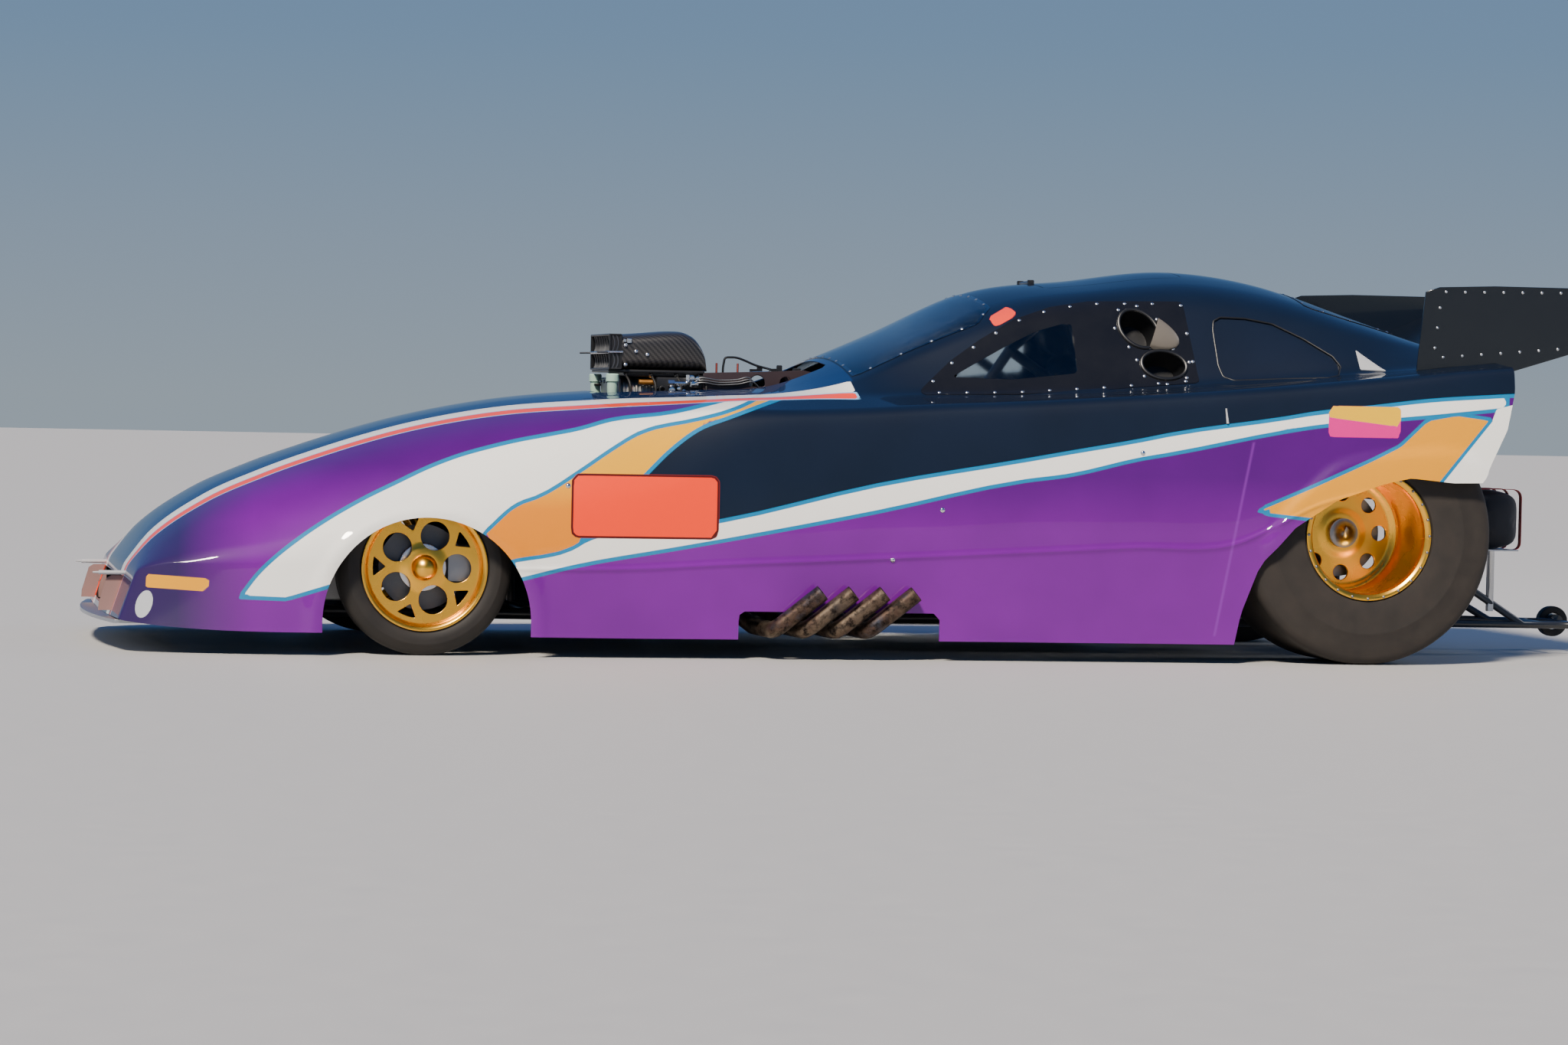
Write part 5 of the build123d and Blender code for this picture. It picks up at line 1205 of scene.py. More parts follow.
def ring_tube(loop, radius, count=10):
    """A round bead along a closed loop: each ring lies across the loop's direction."""
    loop = np.asarray(loop, float)
    tangent = np.roll(loop, -1, 0) - np.roll(loop, 1, 0)
    tangent /= np.linalg.norm(tangent, axis=1)[:, None]
    a = np.cross(tangent, loop.mean(0) - loop)
    a /= np.linalg.norm(a, axis=1)[:, None]
    b = np.cross(tangent, a)
    return sheet_of(loop[:, None] + around(a, b, count) * radius, wrap_u=True, wrap_v=True, flip=True)


def oval(vent, grow, count):
    """Points x and z round a vent's oval, wider than it by grow."""
    x, z, long, wide, tilt = vent
    angle = np.arange(count) * 2 * math.pi / count + 0.3
    a, b = turned((long + grow) * np.cos(angle), (wide + grow) * np.sin(angle), -tilt)
    return front(x) + a, z + b


def cup(vent, side):
    """The dark duct behind a vent: rings that narrow as they go in, closed at the bottom."""
    u, t = on_side(*oval(vent, 3, 48), side)
    start, inward = shell(u, t), -shell_normal(u, t)
    middle_point = start.mean(0)
    rings = []
    for depth, share in ((0, 1.0), (25, 0.96), (60, 0.86), (80, 0.7), (80, 0.0), (83, 0.0), (83, 0.73),
                         (60, 0.89), (25, 0.99), (2, 1.03)):
        rings.append(middle_point + (start - middle_point) * share + inward.mean(0) * depth)
    return welded(sheet_of(np.array(rings), wrap_u=True, wrap_v=True, flip=side > 0))


def teardrop(side):
    """The fairing behind the upper vent. Over a place a along it and b across it, from -1 to 1, it stands
    26 sqrt((1 - a) (1 - b^2)) proud, and its width shrinks as sqrt(1 - a^1.4)."""
    a, b = np.meshgrid(np.linspace(0, 1, 25), np.linspace(-1, 1, 25), indexing="ij")
    along, across = 52 + 92 * a, 54 * np.sqrt(1 - a ** 1.4) * b
    dx, dz = turned(along, across, 22)
    u, t = on_side(front(2462) + dx, 1124 + dz, side)
    rise = 3 + 26 * np.sqrt(np.clip((1 - a) * (1 - b * b), 0, 1))
    return sheet_of(shell(u, t) + rise[..., None] * shell_normal(u, t), flip=side < 0)


def capped(front_loop, back_loop, side):
    """A flat closed plate between two loops: its edge strip and a fan to the middle of each face."""
    n = len(front_loop)
    points = np.concatenate([front_loop, back_loop, [front_loop.mean(0)], [back_loop.mean(0)]])
    a, b = np.arange(n), np.roll(np.arange(n), -1)
    quads = np.stack([a, b, b + n, a + n], 1)
    fans = np.concatenate([np.stack([np.full(n, 2 * n), b, a], 1),
                           np.stack([np.full(n, 2 * n + 1), a + n, b + n], 1)])
    if side < 0:
        quads, fans = quads[:, ::-1], fans[:, ::-1]
    return points, quads, fans


# Wheels


def round_loop(loop, radius, count=4):
    """A closed profile with every corner rounded."""
    loop = [tuple(p) for p in loop]
    return rounded([loop[-1], *loop, loop[0]], radius, count)[1:-1]


def ring(profile, centre, count=144, axis=1):
    """A closed profile turned about an axis through the centre, with its faces outwards."""
    profile = np.asarray(profile, float)
    angle = np.arange(count) * 2 * math.pi / count
    a, b = [(1, 2), (2, 0), (0, 1)][axis]
    points = np.zeros((len(profile), count, 3))
    points[:, :, axis] = profile[:, :1]
    points[:, :, a] = profile[:, 1:] * np.cos(angle)
    points[:, :, b] = profile[:, 1:] * np.sin(angle)
    return facing_out(moved(sheet_of(points, wrap_u=True, wrap_v=True), centre))


def facing_out(shape):
    """The shape with its faces turned outwards: a closed shape whose signed volume is negative is
    reversed."""
    points, quads, triangles = shape
    t = np.concatenate([quads[:, :3], quads[:, [0, 2, 3]], triangles])
    volume = np.einsum("ij,ij->", points[t[:, 0]], np.cross(points[t[:, 1]], points[t[:, 2]]))
    return shape if volume > 0 else (points, quads[:, ::-1], triangles[:, ::-1])


def wheel_disc(radii, along, holes, centre, side, step=3.0, count=240):
    """A flat or dished disc with holes. radii is its inner and outer radius, along(r) its place along the
    axle and holes(a, b) is positive inside the openings. Points = (r cos w, along, r sin w)."""
    def face(r, w):
        return np.stack([r * np.cos(w), side * along(r), r * np.sin(w)], -1)

    us, ts = spread(radii, step), np.linspace(0, 2 * math.pi, count + 1)
    shape = trimmed(us, ts, lambda x, y, z: -holes(x, z), surface=face, steps=(0.3, 0.002))
    shape = welded(shape)
    if side > 0:
        shape = (shape[0], shape[1][:, ::-1], shape[2][:, ::-1])
    return moved(shape, centre)


def front_wheels():
    """Front rims with five holes and five windows, bullet caps, brake bells and narrow tyres."""
    hole, circle, start = 47, 109, math.radians(71)
    angles = start + np.arange(5) * 2 * math.pi / 5
    seat, flange, w = 190.5, 206.5, 44.5
    for side, s in SIDES:
        centre = (FRONT_AXLE, s * FRONT_HALF_TRACK, FRONT_HUB_Z)

        def holes(a, b):
            near = np.minimum.reduce([np.hypot(a - circle * math.cos(k), b - circle * math.sin(k))
                                      for k in angles])
            wedge = np.maximum.reduce([0.82 * (a * math.cos(k) + b * math.sin(k) - 124)
                                       - np.abs(b * math.cos(k) - a * math.sin(k))
                                       for k in angles + math.pi / 5])
            window = np.minimum(np.minimum(166 - np.hypot(a, b), near - hole - 9), wedge)
            return np.maximum(hole - near, window)

        def on_hub(shape):
            return moved(turned_to(shape, s), centre)

        barrel = ring(round_loop([(-50.5, flange), (-w, flange), (-w, seat), (w, seat), (w, flange),
                                  (50.5, flange), (50.5, 198), (44, 190), (33, 186), (30, 182), (-38, 183),
                                  (-46, 192), (-50.5, 199)], 3), (0, 0, 0))
        make("front_rim_barrel_" + side, on_hub(barrel), GOLD, "front_wheel_" + side,
             ["front_rim_" + side])
        face = wheel_disc([38, 60, 183.5], lambda r: 21 + 8 * ease((86 - r) / 42), holes, centre, s)
        disc = make("front_rim_face_" + side, face, GOLD, "front_wheel_" + side)
        thicken(disc, 9)
        ease_edges(disc, 1.6)
        cap = ring([(22, 42), (44, 42), (48, 40), (58, 35), (67, 27), (73, 17), (76, 8), (77, 0), (22, 0)],
                   (0, 0, 0), 64)
        make("bullet_cap_" + side, welded(on_hub(cap)), GOLD, "front_wheel_" + side)
        bell = ring(round_loop([(-37, 40.5), (-9, 40.5), (-9, 78), (-37, 80)], 3), (0, 0, 0), 64)
        make("brake_bell_" + side, on_hub(bell), SILVER, "front_wheel_" + side)
        half = [(44.2, 208.6), (51, 212), (55.5, 222), (57, 236), (56.2, 246), (56.4, 249), (55, 252),
                (51.5, 261), (48, 268), (44, 275), (39, 280.5), (33, 284), (28, 285), (21, 285), (20, 281),
                (15, 281), (14, 285), (3, 285), (2.4, 281)]
        loop = [(-44.2, 190.8), (44.2, 190.8), *half, *[(-a, r) for a, r in half[::-1]]]
        make("front_tyre_" + side, ring(loop, centre, 160), RUBBER, "front_wheel_" + side,
             ["front_tire_" + side])


def turned_to(shape, side):
    """A right-hand wheel's shape for the given side."""
    return shape if side > 0 else mirrored(shape)


def ease_edges(piece, width, segments=2, angle=40):
    """Bevel the sharp edges of a piece."""
    eased = piece.modifiers.new("eased", "BEVEL")
    eased.width, eased.segments, eased.limit_method = width * MM, segments, "ANGLE"
    eased.angle_limit = math.radians(angle)


def rear_wheels():
    """Deep rear rims with eight holes, ring bolts and wide slicks."""
    seat, flange, w = 203.2, 220.2, 203
    angles = np.arange(8) * math.pi / 4
    for side, s in SIDES:
        centre = np.array((REAR_AXLE, s * REAR_HALF_TRACK, REAR_HUB_Z))
        loop = round_loop([(-211, flange), (-w, flange), (-w, seat), (w, seat), (w, flange), (211, flange),
                           (211, 210), (203, 198), (186, 195.4), (-186, 195.4), (-203, 198), (-211, 210)], 4)
        make("rear_rim_barrel_" + side, moved(turned_to(ring(loop, (0, 0, 0)), s), centre), GOLD,
             "rear_wheels", ["rear_rim_" + side])
        face = wheel_disc(
            [23, 60, 196], lambda r: -78 + 4 * ease((90 - r) / 30) + 10 * ease((r - 170) / 24),
            lambda a, b: np.maximum.reduce([26 - np.hypot(a - 135 * math.cos(k), b - 135 * math.sin(k))
                                            for k in angles]), centre, s, 4.0, 160)
        disc = make("rear_rim_face_" + side, face, GOLD, "rear_wheels")
        thicken(disc, 12)
        ease_edges(disc, 1.6)
        k = np.arange(24) * math.pi / 12
        places = centre + np.stack([213 * np.cos(k), np.full(24, s * 211.0), 213 * np.sin(k)], 1)
        heads = domes(places, np.tile((0.0, s, 0.0), (24, 1)), 5.5, 4.5, 6)
        make("rim_bolts_" + side, heads, STEEL, "rear_wheels")
        half = [(202.7, 222.4), (211, 227), (214.5, 245), (216, 290), (215.6, 330), (216, 333), (214.6, 338),
                (212.5, 375), (208, 408), (201, 425), (190, 433.5), (174, 436.6), (100, 437)]
        loop = [(-202.7, 203.5), (202.7, 203.5), *half, *[(-a, r) for a, r in half[::-1]]]
        make("slick_" + side, ring(loop, centre, 200), SLICK_RUBBER, "rear_wheels",
             ["rear_tire_" + side])
    low, high = corners("wheelie_wheels")
    x, z, r = (low[0] + high[0]) / 2, (low[2] + high[2]) / 2, (high[0] - low[0]) / 2
    reach = high[1] - 30
    tyres, hubs = [], []
    for s in (-1, 1):
        loop = round_loop([(-20, 30), (20, 30), (20, r - 1), (14, r), (-14, r), (-20, r - 1)], 4)
        tyres.append(ring(loop, (x, s * reach, z), 64))
        hub = [(-17, 0), (-17, 12), (-8, 14), (-8, 30.5), (8, 30.5), (8, 14), (17, 12), (17, 0)]
        hubs.append(facing_out(welded(ring(hub, (x, s * reach, z), 48))))
    make("wheelie_tyres", tyres, RUBBER, "wheelie_wheels", ["wheelie_wheels"])
    hubs.append(pipe([(x, low[1], z), (x, high[1], z)], 7.9, 20))
    make("wheelie_hubs", hubs, SILVER, "wheelie_wheels")


# Engine


def carbon_finish():
    """Twill carbon fibre under clear resin: 2 x 2 twill whose tows are drawn 5 mm wide, coarser than the real
    2 mm ones so that they show. The tows run along the piece's own weave fields."""
    material, tree, shader = finish_of("clear coated twill carbon", {
        "Metallic": 0.2, "Roughness": 0.42, "Coat Weight": 0.45, "Coat Roughness": 0.16})
    cells = []
    for name in ("weave_a", "weave_b"):
        along = add(tree, "Attribute", output="Fac", attribute_name=name)
        tows = add(tree, "Math", {0: along, 1: 1 / 5}, operation="MULTIPLY")
        cells.append(add(tree, "Math", {0: tows}, operation="FLOOR"))
    total = add(tree, "Math", {0: cells[0], 1: cells[1]}, operation="ADD")
    turn = add(tree, "Math", {0: total, 1: 4.0}, operation="FLOORED_MODULO")
    over = add(tree, "Math", {0: turn, 1: 1.5}, operation="LESS_THAN")
    plug(tree, shader, {
        "Base Color": add(tree, "Mix", {0: over, 6: linear("1B1A1A"), 7: linear("383635")}, 2, data_type="RGBA"),
        "Normal": add(tree, "Bump", {"Height": over, "Strength": 0.1, "Distance": 0.15 * MM})})
    return material


def scorched_finish():
    """Bare steel pipe tarnished by heat: straw, brown and blue bands that drift, matt from soot at the
    mouths."""
    material, tree, shader = finish_of("heat tarnished steel pipe", {"Metallic": 0.9, "Roughness": 0.42})
    place = add(tree, "TexCoord", output="Object")
    blotch, soot = [add(tree, "TexNoise", {"Vector": place, "Scale": 1000 / size, "Detail": 4.0,
                                           "Roughness": rough})
                    for size, rough in ((130, 0.6), (28, 0.7))]
    tone = add(tree, "ValToRGB", {0: blotch}, stops=[
        (0.3, linear("3E3A3A")), (0.45, linear("6E5F50")), (0.55, linear("56443A")), (0.68, linear("3C4552"))])
    sooty = within(tree, soot, 0.55, 1.2, 0.1)
    plug(tree, shader, {
        "Base Color": add(tree, "Mix", {0: sooty, 6: tone, 7: linear("1E1A18")}, 2, data_type="RGBA"),
        "Roughness": add(tree, "MapRange", {0: soot, 3: 0.3, 4: 0.6}),
        "Normal": add(tree, "Bump", {"Height": soot, "Strength": 0.15, "Distance": 0.2 * MM})})
    return material


CARBON = carbon_finish()
SCORCHED = scorched_finish()


def hat_body():
    """The air scoop's shell: a rounded box section, |y|^5 + |z|^5 like, whose top drops to the blower at the
    back. Station x gives the top height and half width, and the angle runs once round the section."""
    place = [742, 790, 847, 900, 929, 968, 988, 1002, 1018, 1030, 1039, 1043]
    top = [1067, 1070, 1075, 1080, 1081, 1078, 1070, 1061, 1042, 1020, 987, 946]
    x = np.linspace(742, 1043, 61)
    crown = cubic(place, top, x)
    half = cubic([742, 860, 970, 1043], [188, 189, 184, 172], x)
    base = 945.0
    w = np.linspace(0, 2 * math.pi, 121)[:-1] + math.pi / 4
    c, s = np.cos(w), np.sin(w)
    c, s = np.sign(c) * np.abs(c) ** 0.42, np.sign(s) * np.abs(s) ** 0.42
    y = half[:, None] * c
    middle_z, reach = (base + crown) / 2, (crown - base) / 2
    z = middle_z[:, None] + reach[:, None] * s
    points = np.stack([np.broadcast_to(front(x)[:, None], y.shape), y, z], -1)
    body = facing_out(with_ends(points, [[front(742), 0, middle_z[0]], [front(1043), 0, 945.5]]))
    piece = make("injector_scoop", body, CARBON, "chassis", ["injector_hat"], sharp=40)
    points = body[0]
    carry(piece, {"weave_a": points[:, 0], "weave_b": points[:, 1] + points[:, 2]})


def add_hat():
    """The scoop with its framed inlet, three curved dividers in each of its two rows, its base and its
    bolts."""
    hat_body()
    low, mid, high, half = 945, 1004, 1067, 190
    x0, x1 = front(700), front(743)
    frame_bars = [box_of((x0, -half, low), (x1, half, low + 6), 2),
                  box_of((x0, -half, high - 6), (x1, half, high), 2),
                  box_of((x1 - 6, -half + 2, low + 3), (x1 + 3, half - 2, high - 3), 1)]
    for s in (-1, 1):
        inner = s * (half - 7)
        frame_bars.append(box_of((x0, s * half - 4, low), (x0 + 6, s * half + 4, high), 2))
        frame_bars.append(box_of((x0 + 3, inner - 2, low + 3), (x1, inner + 2, high - 3), 1))
    make("scoop_frame", frame_bars, BLACK_METAL, "chassis", sharp=30)
    v = np.linspace(-1, 1, 17)
    dividers = []
    for z0, z1 in ((low + 6, mid - 4), (mid + 4, high - 6)):
        z, bow = (z0 + z1) / 2 + v * (z1 - z0) / 2, 7 * (1 - v * v)
        for y in (-140, -95, -48, 0, 48, 95, 140):
            edge = [np.stack([np.full(17, x) + bow, y + dy + bow, z], 1)
                    for x, dy in ((x0 + 3, -2.2), (x0 + 3, 2.2), (x0 + 30, 2.2), (x0 + 30, -2.2))]
            dividers.append(strip_bar(np.stack(edge, 1)))
        for s in (-1, 1):
            for x in (x0 + 12, x0 + 25):
                edge = [np.stack([x + dx + bow, np.full(17, s * (half - 3.5) + dy), z], 1)
                        for dx, dy in ((-2, -1.5), (2, -1.5), (2, 1.5), (-2, 1.5))]
                dividers.append(strip_bar(np.stack(edge, 1)))
    make("scoop_dividers", dividers, DARK_STEEL, "chassis", sharp=30)
    shafts = [box_of((x0 - 3, -half, mid - 4), (x0 + 4, half, mid + 4), 2.5)]
    links = []
    for s in (-1, 1):
        outer, inner = s * (half + 2), s * (half - 12)
        shafts.append(pipe([(x0 - 2, outer, mid), (x1 + 4, outer, mid + 1)], 4.6, 14))
        links.append(pipe([(x0 - 40, inner, mid - 1), (x0, inner, mid)], 3, 12))
    make("scoop_shafts", shafts, SILVER, "chassis", sharp=30)
    make("scoop_links", links, DARK_STEEL, "chassis", sharp=30)
    places, normals = [], []
    for s in (-1, 1):
        for x, z in ((793, 1007), (832, 997), (756, 1028), (757, 962)):
            places.append((front(x), s * 188.5, z))
            normals.append((0, s, 0))
    make("scoop_bolts", domes(places, normals, 8.5, 7), SILVER, "chassis")
    tabs = [box_of((front(x) - r, s * 189 - 4, z - r), (front(x) + r, s * 189 + 4, z + r), 1.5)
            for s in (-1, 1) for x, z, r in ((770, 1044, 8), (754, 1044, 5))]
    make("scoop_tabs", tabs, POLISHED, "chassis", sharp=30)
    base = [box_of((front(760), -150, 923), (front(1020), 150, 946), 4),
            box_of((front(702), -172, 936), (front(1036), 172, 946), 3)]
    make("scoop_base", base, BLACK_METAL, "chassis")


def strip_bar(edge):
    """A closed bar from rows of four corners: the sides, then the two end faces."""
    n = len(edge)
    points = edge.reshape(-1, 3)
    index = np.arange(n * 4).reshape(n, 4)
    ahead = np.roll(index, -1, 1)
    sides = np.stack([index[:-1], index[1:], ahead[1:], ahead[:-1]], -1).reshape(-1, 4)
    ends = np.array([index[0][::-1], index[-1]])
    return facing_out((points, np.concatenate([sides, ends[:, [3, 2, 1, 0]][:, ::-1]]), NO_TRIANGLES))


def add_blower():
    """The ribbed supercharger case, its end plates and bolts, and the belt drive."""
    b0, b1, low, high, half = front(730), front(1210), 690, 925, 145
    w = np.linspace(0, 2 * math.pi, 97)[:-1]
    c, s = np.cos(w), np.sin(w)
    y = (half - 8) * np.sign(c) * np.abs(c) ** 0.5
    z = (low + high) / 2 + (high - low) / 2 * np.sign(s) * np.abs(s) ** 0.36
    x = np.linspace(b0 + 20, b1 - 20, 221)
    rib = 1 - 0.045 * ease((np.abs(((x - b0) / 22) % 1 - 0.5) - 0.14) / 0.12)
    centre = np.array([0, (low + high) / 2])
    points = np.stack([np.broadcast_to(x[:, None], (len(x), len(w))), y * rib[:, None],
                       centre[1] + (z - centre[1]) * (1 - (1 - rib[:, None]) * 0.4)], -1)
    case = facing_out(with_ends(points))
    make("blower_case", case, CAST, "chassis", ["blower"], sharp=50)
    plates = [box_of((b0, -half, low), (b0 + 21, half, high - 6), 6),
              box_of((b1 - 21, -half, low), (b1, half, high - 6), 6),
              pipe([(front(722), 0, 802), (b0 + 5, 0, 802)], 58, 40),
              pipe([(b1 - 4, 65, 802), (b1 + 14, 65, 802)], 46, 32),
              pipe([(b1 - 4, -65, 802), (b1 + 14, -65, 802)], 46, 32),
              pipe([(front(655), 0, 802), (b0, 0, 802)], 22, 32)]
    make("blower_plates", plates, CAST, "chassis", sharp=30)
    loop = walked([(-half + 14, low + 14), (half - 14, low + 14), (half - 14, high - 20),
                   (-half + 14, high - 20)], 62)
    places = np.concatenate([np.column_stack([np.full(len(loop), xx), loop]) for xx in (b0, b1)])
    normals = np.concatenate([np.tile((d, 0.0, 0.0), (len(loop), 1)) for d in (-1, 1)])
    make("blower_bolts", domes(places, normals, 7, 6, 6), STEEL, "chassis")
    x0, width = front(655), 70
    low_b, high_b = corners("drive_belt")
    r = (high_b[1] - low_b[1]) / 2
    z0, z1 = low_b[2] + r, high_b[2] - r
    run, turn = z1 - z0, math.pi * r
    total = 2 * (run + turn)
    count = int(total / 3.5) // 4 * 4
    s = np.arange(count) * total / count
    side_up, arc_top = s < run, (s >= run) & (s < run + turn)
    side_down, arc_low = (s >= run + turn) & (s < 2 * run + turn), s >= 2 * run + turn
    angle = np.where(arc_top, (s - run) / r, np.where(arc_low, (s - 2 * run - turn) / r, 0))
    ny = np.where(side_up, 1, np.where(arc_top, np.cos(angle), np.where(side_down, -1, -np.cos(angle))))
    nz = np.where(arc_top, np.sin(angle), np.where(arc_low, -np.sin(angle), 0))
    cz = np.where(side_up, z0 + s, np.where(arc_top, z1, np.where(side_down, z1 - (s - run - turn), z0)))
    tooth = np.where((np.arange(count) // 2) % 2 == 0, 2.6, 0.0)
    rows = []
    for x, depth in ((x0 + 1, 0), (x0 + width - 1, 0), (x0 + width - 1, 4.6), (x0 + 1, 4.6)):
        d = r - depth - (tooth if depth else 0)
        rows.append(np.stack([np.full(count, x), ny * d, cz + nz * d], 1))
    belt = facing_out(sheet_of(np.array(rows), wrap_u=True, wrap_v=True))
    make("toothed_belt", belt, HOSE_RUBBER, "chassis", ["drive_belt"], sharp=30)
    wheels = []
    pr = r - 8.4
    for z, bore in ((z0, 25.2), (z1, 22.4)):
        rim = [(x0 + 2, bore), (x0 + width - 2, bore), (x0 + width - 2, pr), (x0 + 2, pr)]
        hub = [(x0 - 6, bore), (x0 + 1.5, bore), (x0 + 1.5, pr - 14), (x0 - 6, pr - 26)]
        wheels.append(ring(round_loop(rim, 2), (0, 0, z), 96, 0))
        wheels.append(ring(round_loop(hub, 2), (0, 0, z), 64, 0))
    make("drive_pulley_wheels", wheels, SILVER, "chassis", ["drive_pulleys"], sharp=30)


def with_ends(points, middles=None):
    """A tube of points closed by a fan at each end, round the ring's middle unless middles are given."""
    n, base = points.shape[1], points.shape[0] * points.shape[1]
    shape = sheet_of(points, wrap_v=True)
    ends = np.stack([points[0].mean(0), points[-1].mean(0)]) if middles is None else middles
    a, b = np.arange(n), base - n + np.arange(n)
    fans = np.concatenate([np.stack([np.full(n, base), np.roll(a, -1), a], 1),
                           np.stack([np.full(n, base + 1), b, np.roll(b, -1)], 1)])
    return np.concatenate([shape[0], ends]), shape[1], fans


def flat_plate(name, loop, holes, y, material, wall=5, step=7):
    """An upright plate in the XZ plane inside a loop, without its holes."""
    loop = np.array(loop, float)
    low, high = loop.min(0) - 2, loop.max(0) + 2

    def face(u, t):
        return np.stack([u, np.full(np.shape(u), float(y)), t], -1)

    def keep(x, _, z):
        value = inside(loop, x, z)
        for hole in holes:
            value = np.minimum(value, -inside(hole, x, z))
        return value

    shape = trimmed(spread([low[0], high[0]], step), spread([low[1], high[1]], step), keep, surface=face,
                    steps=(0.3, 0.3))
    if y > 0:
        shape = (shape[0], shape[1][:, ::-1], shape[2][:, ::-1])
    piece = make(name, shape, material, "chassis")
    thicken(piece, wall)
    ease_edges(piece, 0.8)
    return piece


def arch_loop(x, z, half, height):
    """A round-topped opening."""
    angle = np.linspace(0, math.pi, 13)
    return np.concatenate([[(x - half, z), (x + half, z)],
                           np.stack([x + half * np.cos(angle), z + height - half + half * np.sin(angle)], 1)])


def placed(points, side=1):
    """Points whose x is given behind the front axle and whose y points to a side."""
    return np.array(points, float) * (1, side, 1) + (FRONT_AXLE, 0, 0)


def block_at(x0, x1, y, half, z0, z1, bevel):
    """A box between two places behind the front axle, half millimetres to each side of y."""
    return box_of((front(x0), y - half, z0), (front(x1), y + half, z1), bevel)


def add_fuel_parts(side, s):
    """One side's lines, fittings, blocks, filter and small tank."""
    lines = [pipe(smooth_path(placed([(985, 176, z - 12), (1012, 188, z), (1085, 189, z - 5), (1150, 189, z - 1),
                                      (1186 + 9 * k, 187, z + 6), (1208 + 9 * k, 176, z - 12)], s), 40), 2.7, 12)
             for k, z in enumerate((921, 913, 905))]
    make("fuel_lines_" + side, lines, BRAID, "chassis")
    elbow = rounded(placed([(916, 176, 902), (977, 176, 902), (980, 176, 930)], s), 16, 8)
    fittings = [pipe(elbow, 9, 16), pipe(placed([(908, 176, 902), (930, 176, 902)], s), 12.5, 6),
                pipe(placed([(980, 176, 914), (980, 176, 932)], s), 12, 6),
                block_at(985, 1015, s * 176, 10, 890, 911, 3)]
    for x, z, r in ((990, 922, 9), (1009, 919, 8), (921, 878, 11), (945, 884, 7), (962, 876, 6)):
        stem = placed([(x, 164, z), (x, 186, z), (x, 186.5, z), (x, 192, z)], s)
        fittings.append(pipe(stem, [r, r, r * 0.6, r * 0.6], 18))
    make("fuel_fittings_" + side, fittings, POLISHED, "chassis", sharp=35)
    ports = []
    for x, z, r in ((889, 880, 13), (866, 888, 8)):
        mouth = round_loop([(0, r), (18, r), (18, r * 0.55), (0, r * 0.55)], 1.5)
        ports.append(ring(mouth, (front(x), 166 if s > 0 else -184, z), 32))
    ports.append(block_at(868, 1036, s * 157, 11, 866, 922, 4))
    ports.append(block_at(1010, 1040, s * 166, 14, 912, 930, 4))
    make("fuel_block_" + side, ports, BLACK_METAL, "chassis", sharp=35)
    bar = pipe(placed([(811, 155, 905), (864, 155, 905)], s), 9, 20)
    make("fuel_filter_" + side, bar, AMBER_METAL, "chassis", sharp=35)
    tank = ring([(812, 0), (812, 14), (818, 17.5), (902, 17.5), (905, 22), (927, 22), (931, 19), (931, 0)],
                (front(716), s * 172, 0), 40, 2)
    make("small_tank_" + side, facing_out(welded(tank)), SEA, "chassis", sharp=35)
    bracket = [block_at(708, 738, s * 150, 10, z, z + 8, 2) for z in (840, 890)]
    make("tank_brackets_" + side, bracket, BLACK_METAL, "chassis", sharp=35)


def add_engine_dressing():
    """Side plates, fuel parts, nozzle hoses, the loop of cable, the spacers and the deck above the hood."""
    for side, s in SIDES:
        loop = [(front(x), z) for x, z in ((1030, 880), (1410, 880), (1412, 950), (1377, 956), (1300, 951),
                                           (1200, 947), (1090, 943), (1030, 938))]
        arches = (1219, 1319) if s < 0 else (1292, 1375)
        holes = [arch_loop(front(x), 897, half, rise) for x, half, rise in zip(arches, (27, 22), (41, 36))]
        flat_plate("throttle_plate_" + side, loop, holes, s * 178, PLATE)
        add_fuel_parts(side, s)
        nozzles, hoses = [], []
        for x in (765, 853, 941, 1029):
            path = placed([(x, 152, 930), (x + 10, 178, 902), (x + 4, 172, 790), (x + 8, 150, 690),
                           (x + 40, 112, 622)], s)
            hoses.append(pipe(smooth_path(path, 28), 4.4, 12))
            nozzles.append(pipe(placed([(x, 146, 934), (x, 158, 926)], s), 8, 12))
        make("nozzle_hoses_" + side, hoses, HOSE_RUBBER, "chassis")
        make("nozzles_" + side, nozzles, SILVER, "chassis", sharp=35)
    hoop = smooth_path(placed([(1112, -120, 890), (1112, -120, 975), (1117, -120, 993), (1138, -120, 996),
                               (1232, -120, 968), (1300, -120, 952)]), 48)
    make("cable_hoop", pipe(hoop, 4, 10), BLACK_METAL, "chassis")
    posts = [pipe(placed([(x, -150, 890), (x, -150, 975)]), 3.6, 14) for x in (1081, 1155)]
    make("red_posts", posts, RED_METAL, "chassis", sharp=35)
    cross = [pipe(placed([(x, -176, z), (x, 176, z)]), r, 14)
             for x, z, r in ((1070, 925, 8), (1160, 931, 7), (1265, 944, 7), (1385, 944, 7))]
    make("plate_spacers", cross, SILVER, "chassis", sharp=35)
    deck = [block_at(1036, 1400, 0, 165, 880, 889, 3)]
    for s in (-1, 1):
        deck.append(block_at(1288, 1306, s * 168, 9, 946, 972, 3))
        deck.append(block_at(1262, 1290, s * 168, 6, 950, 960, 2))
        deck.append(block_at(1345, 1372, s * 168, 8, 950, 963, 3))
    make("throttle_deck", deck, BLACK_METAL, "chassis", sharp=30)


# Body details


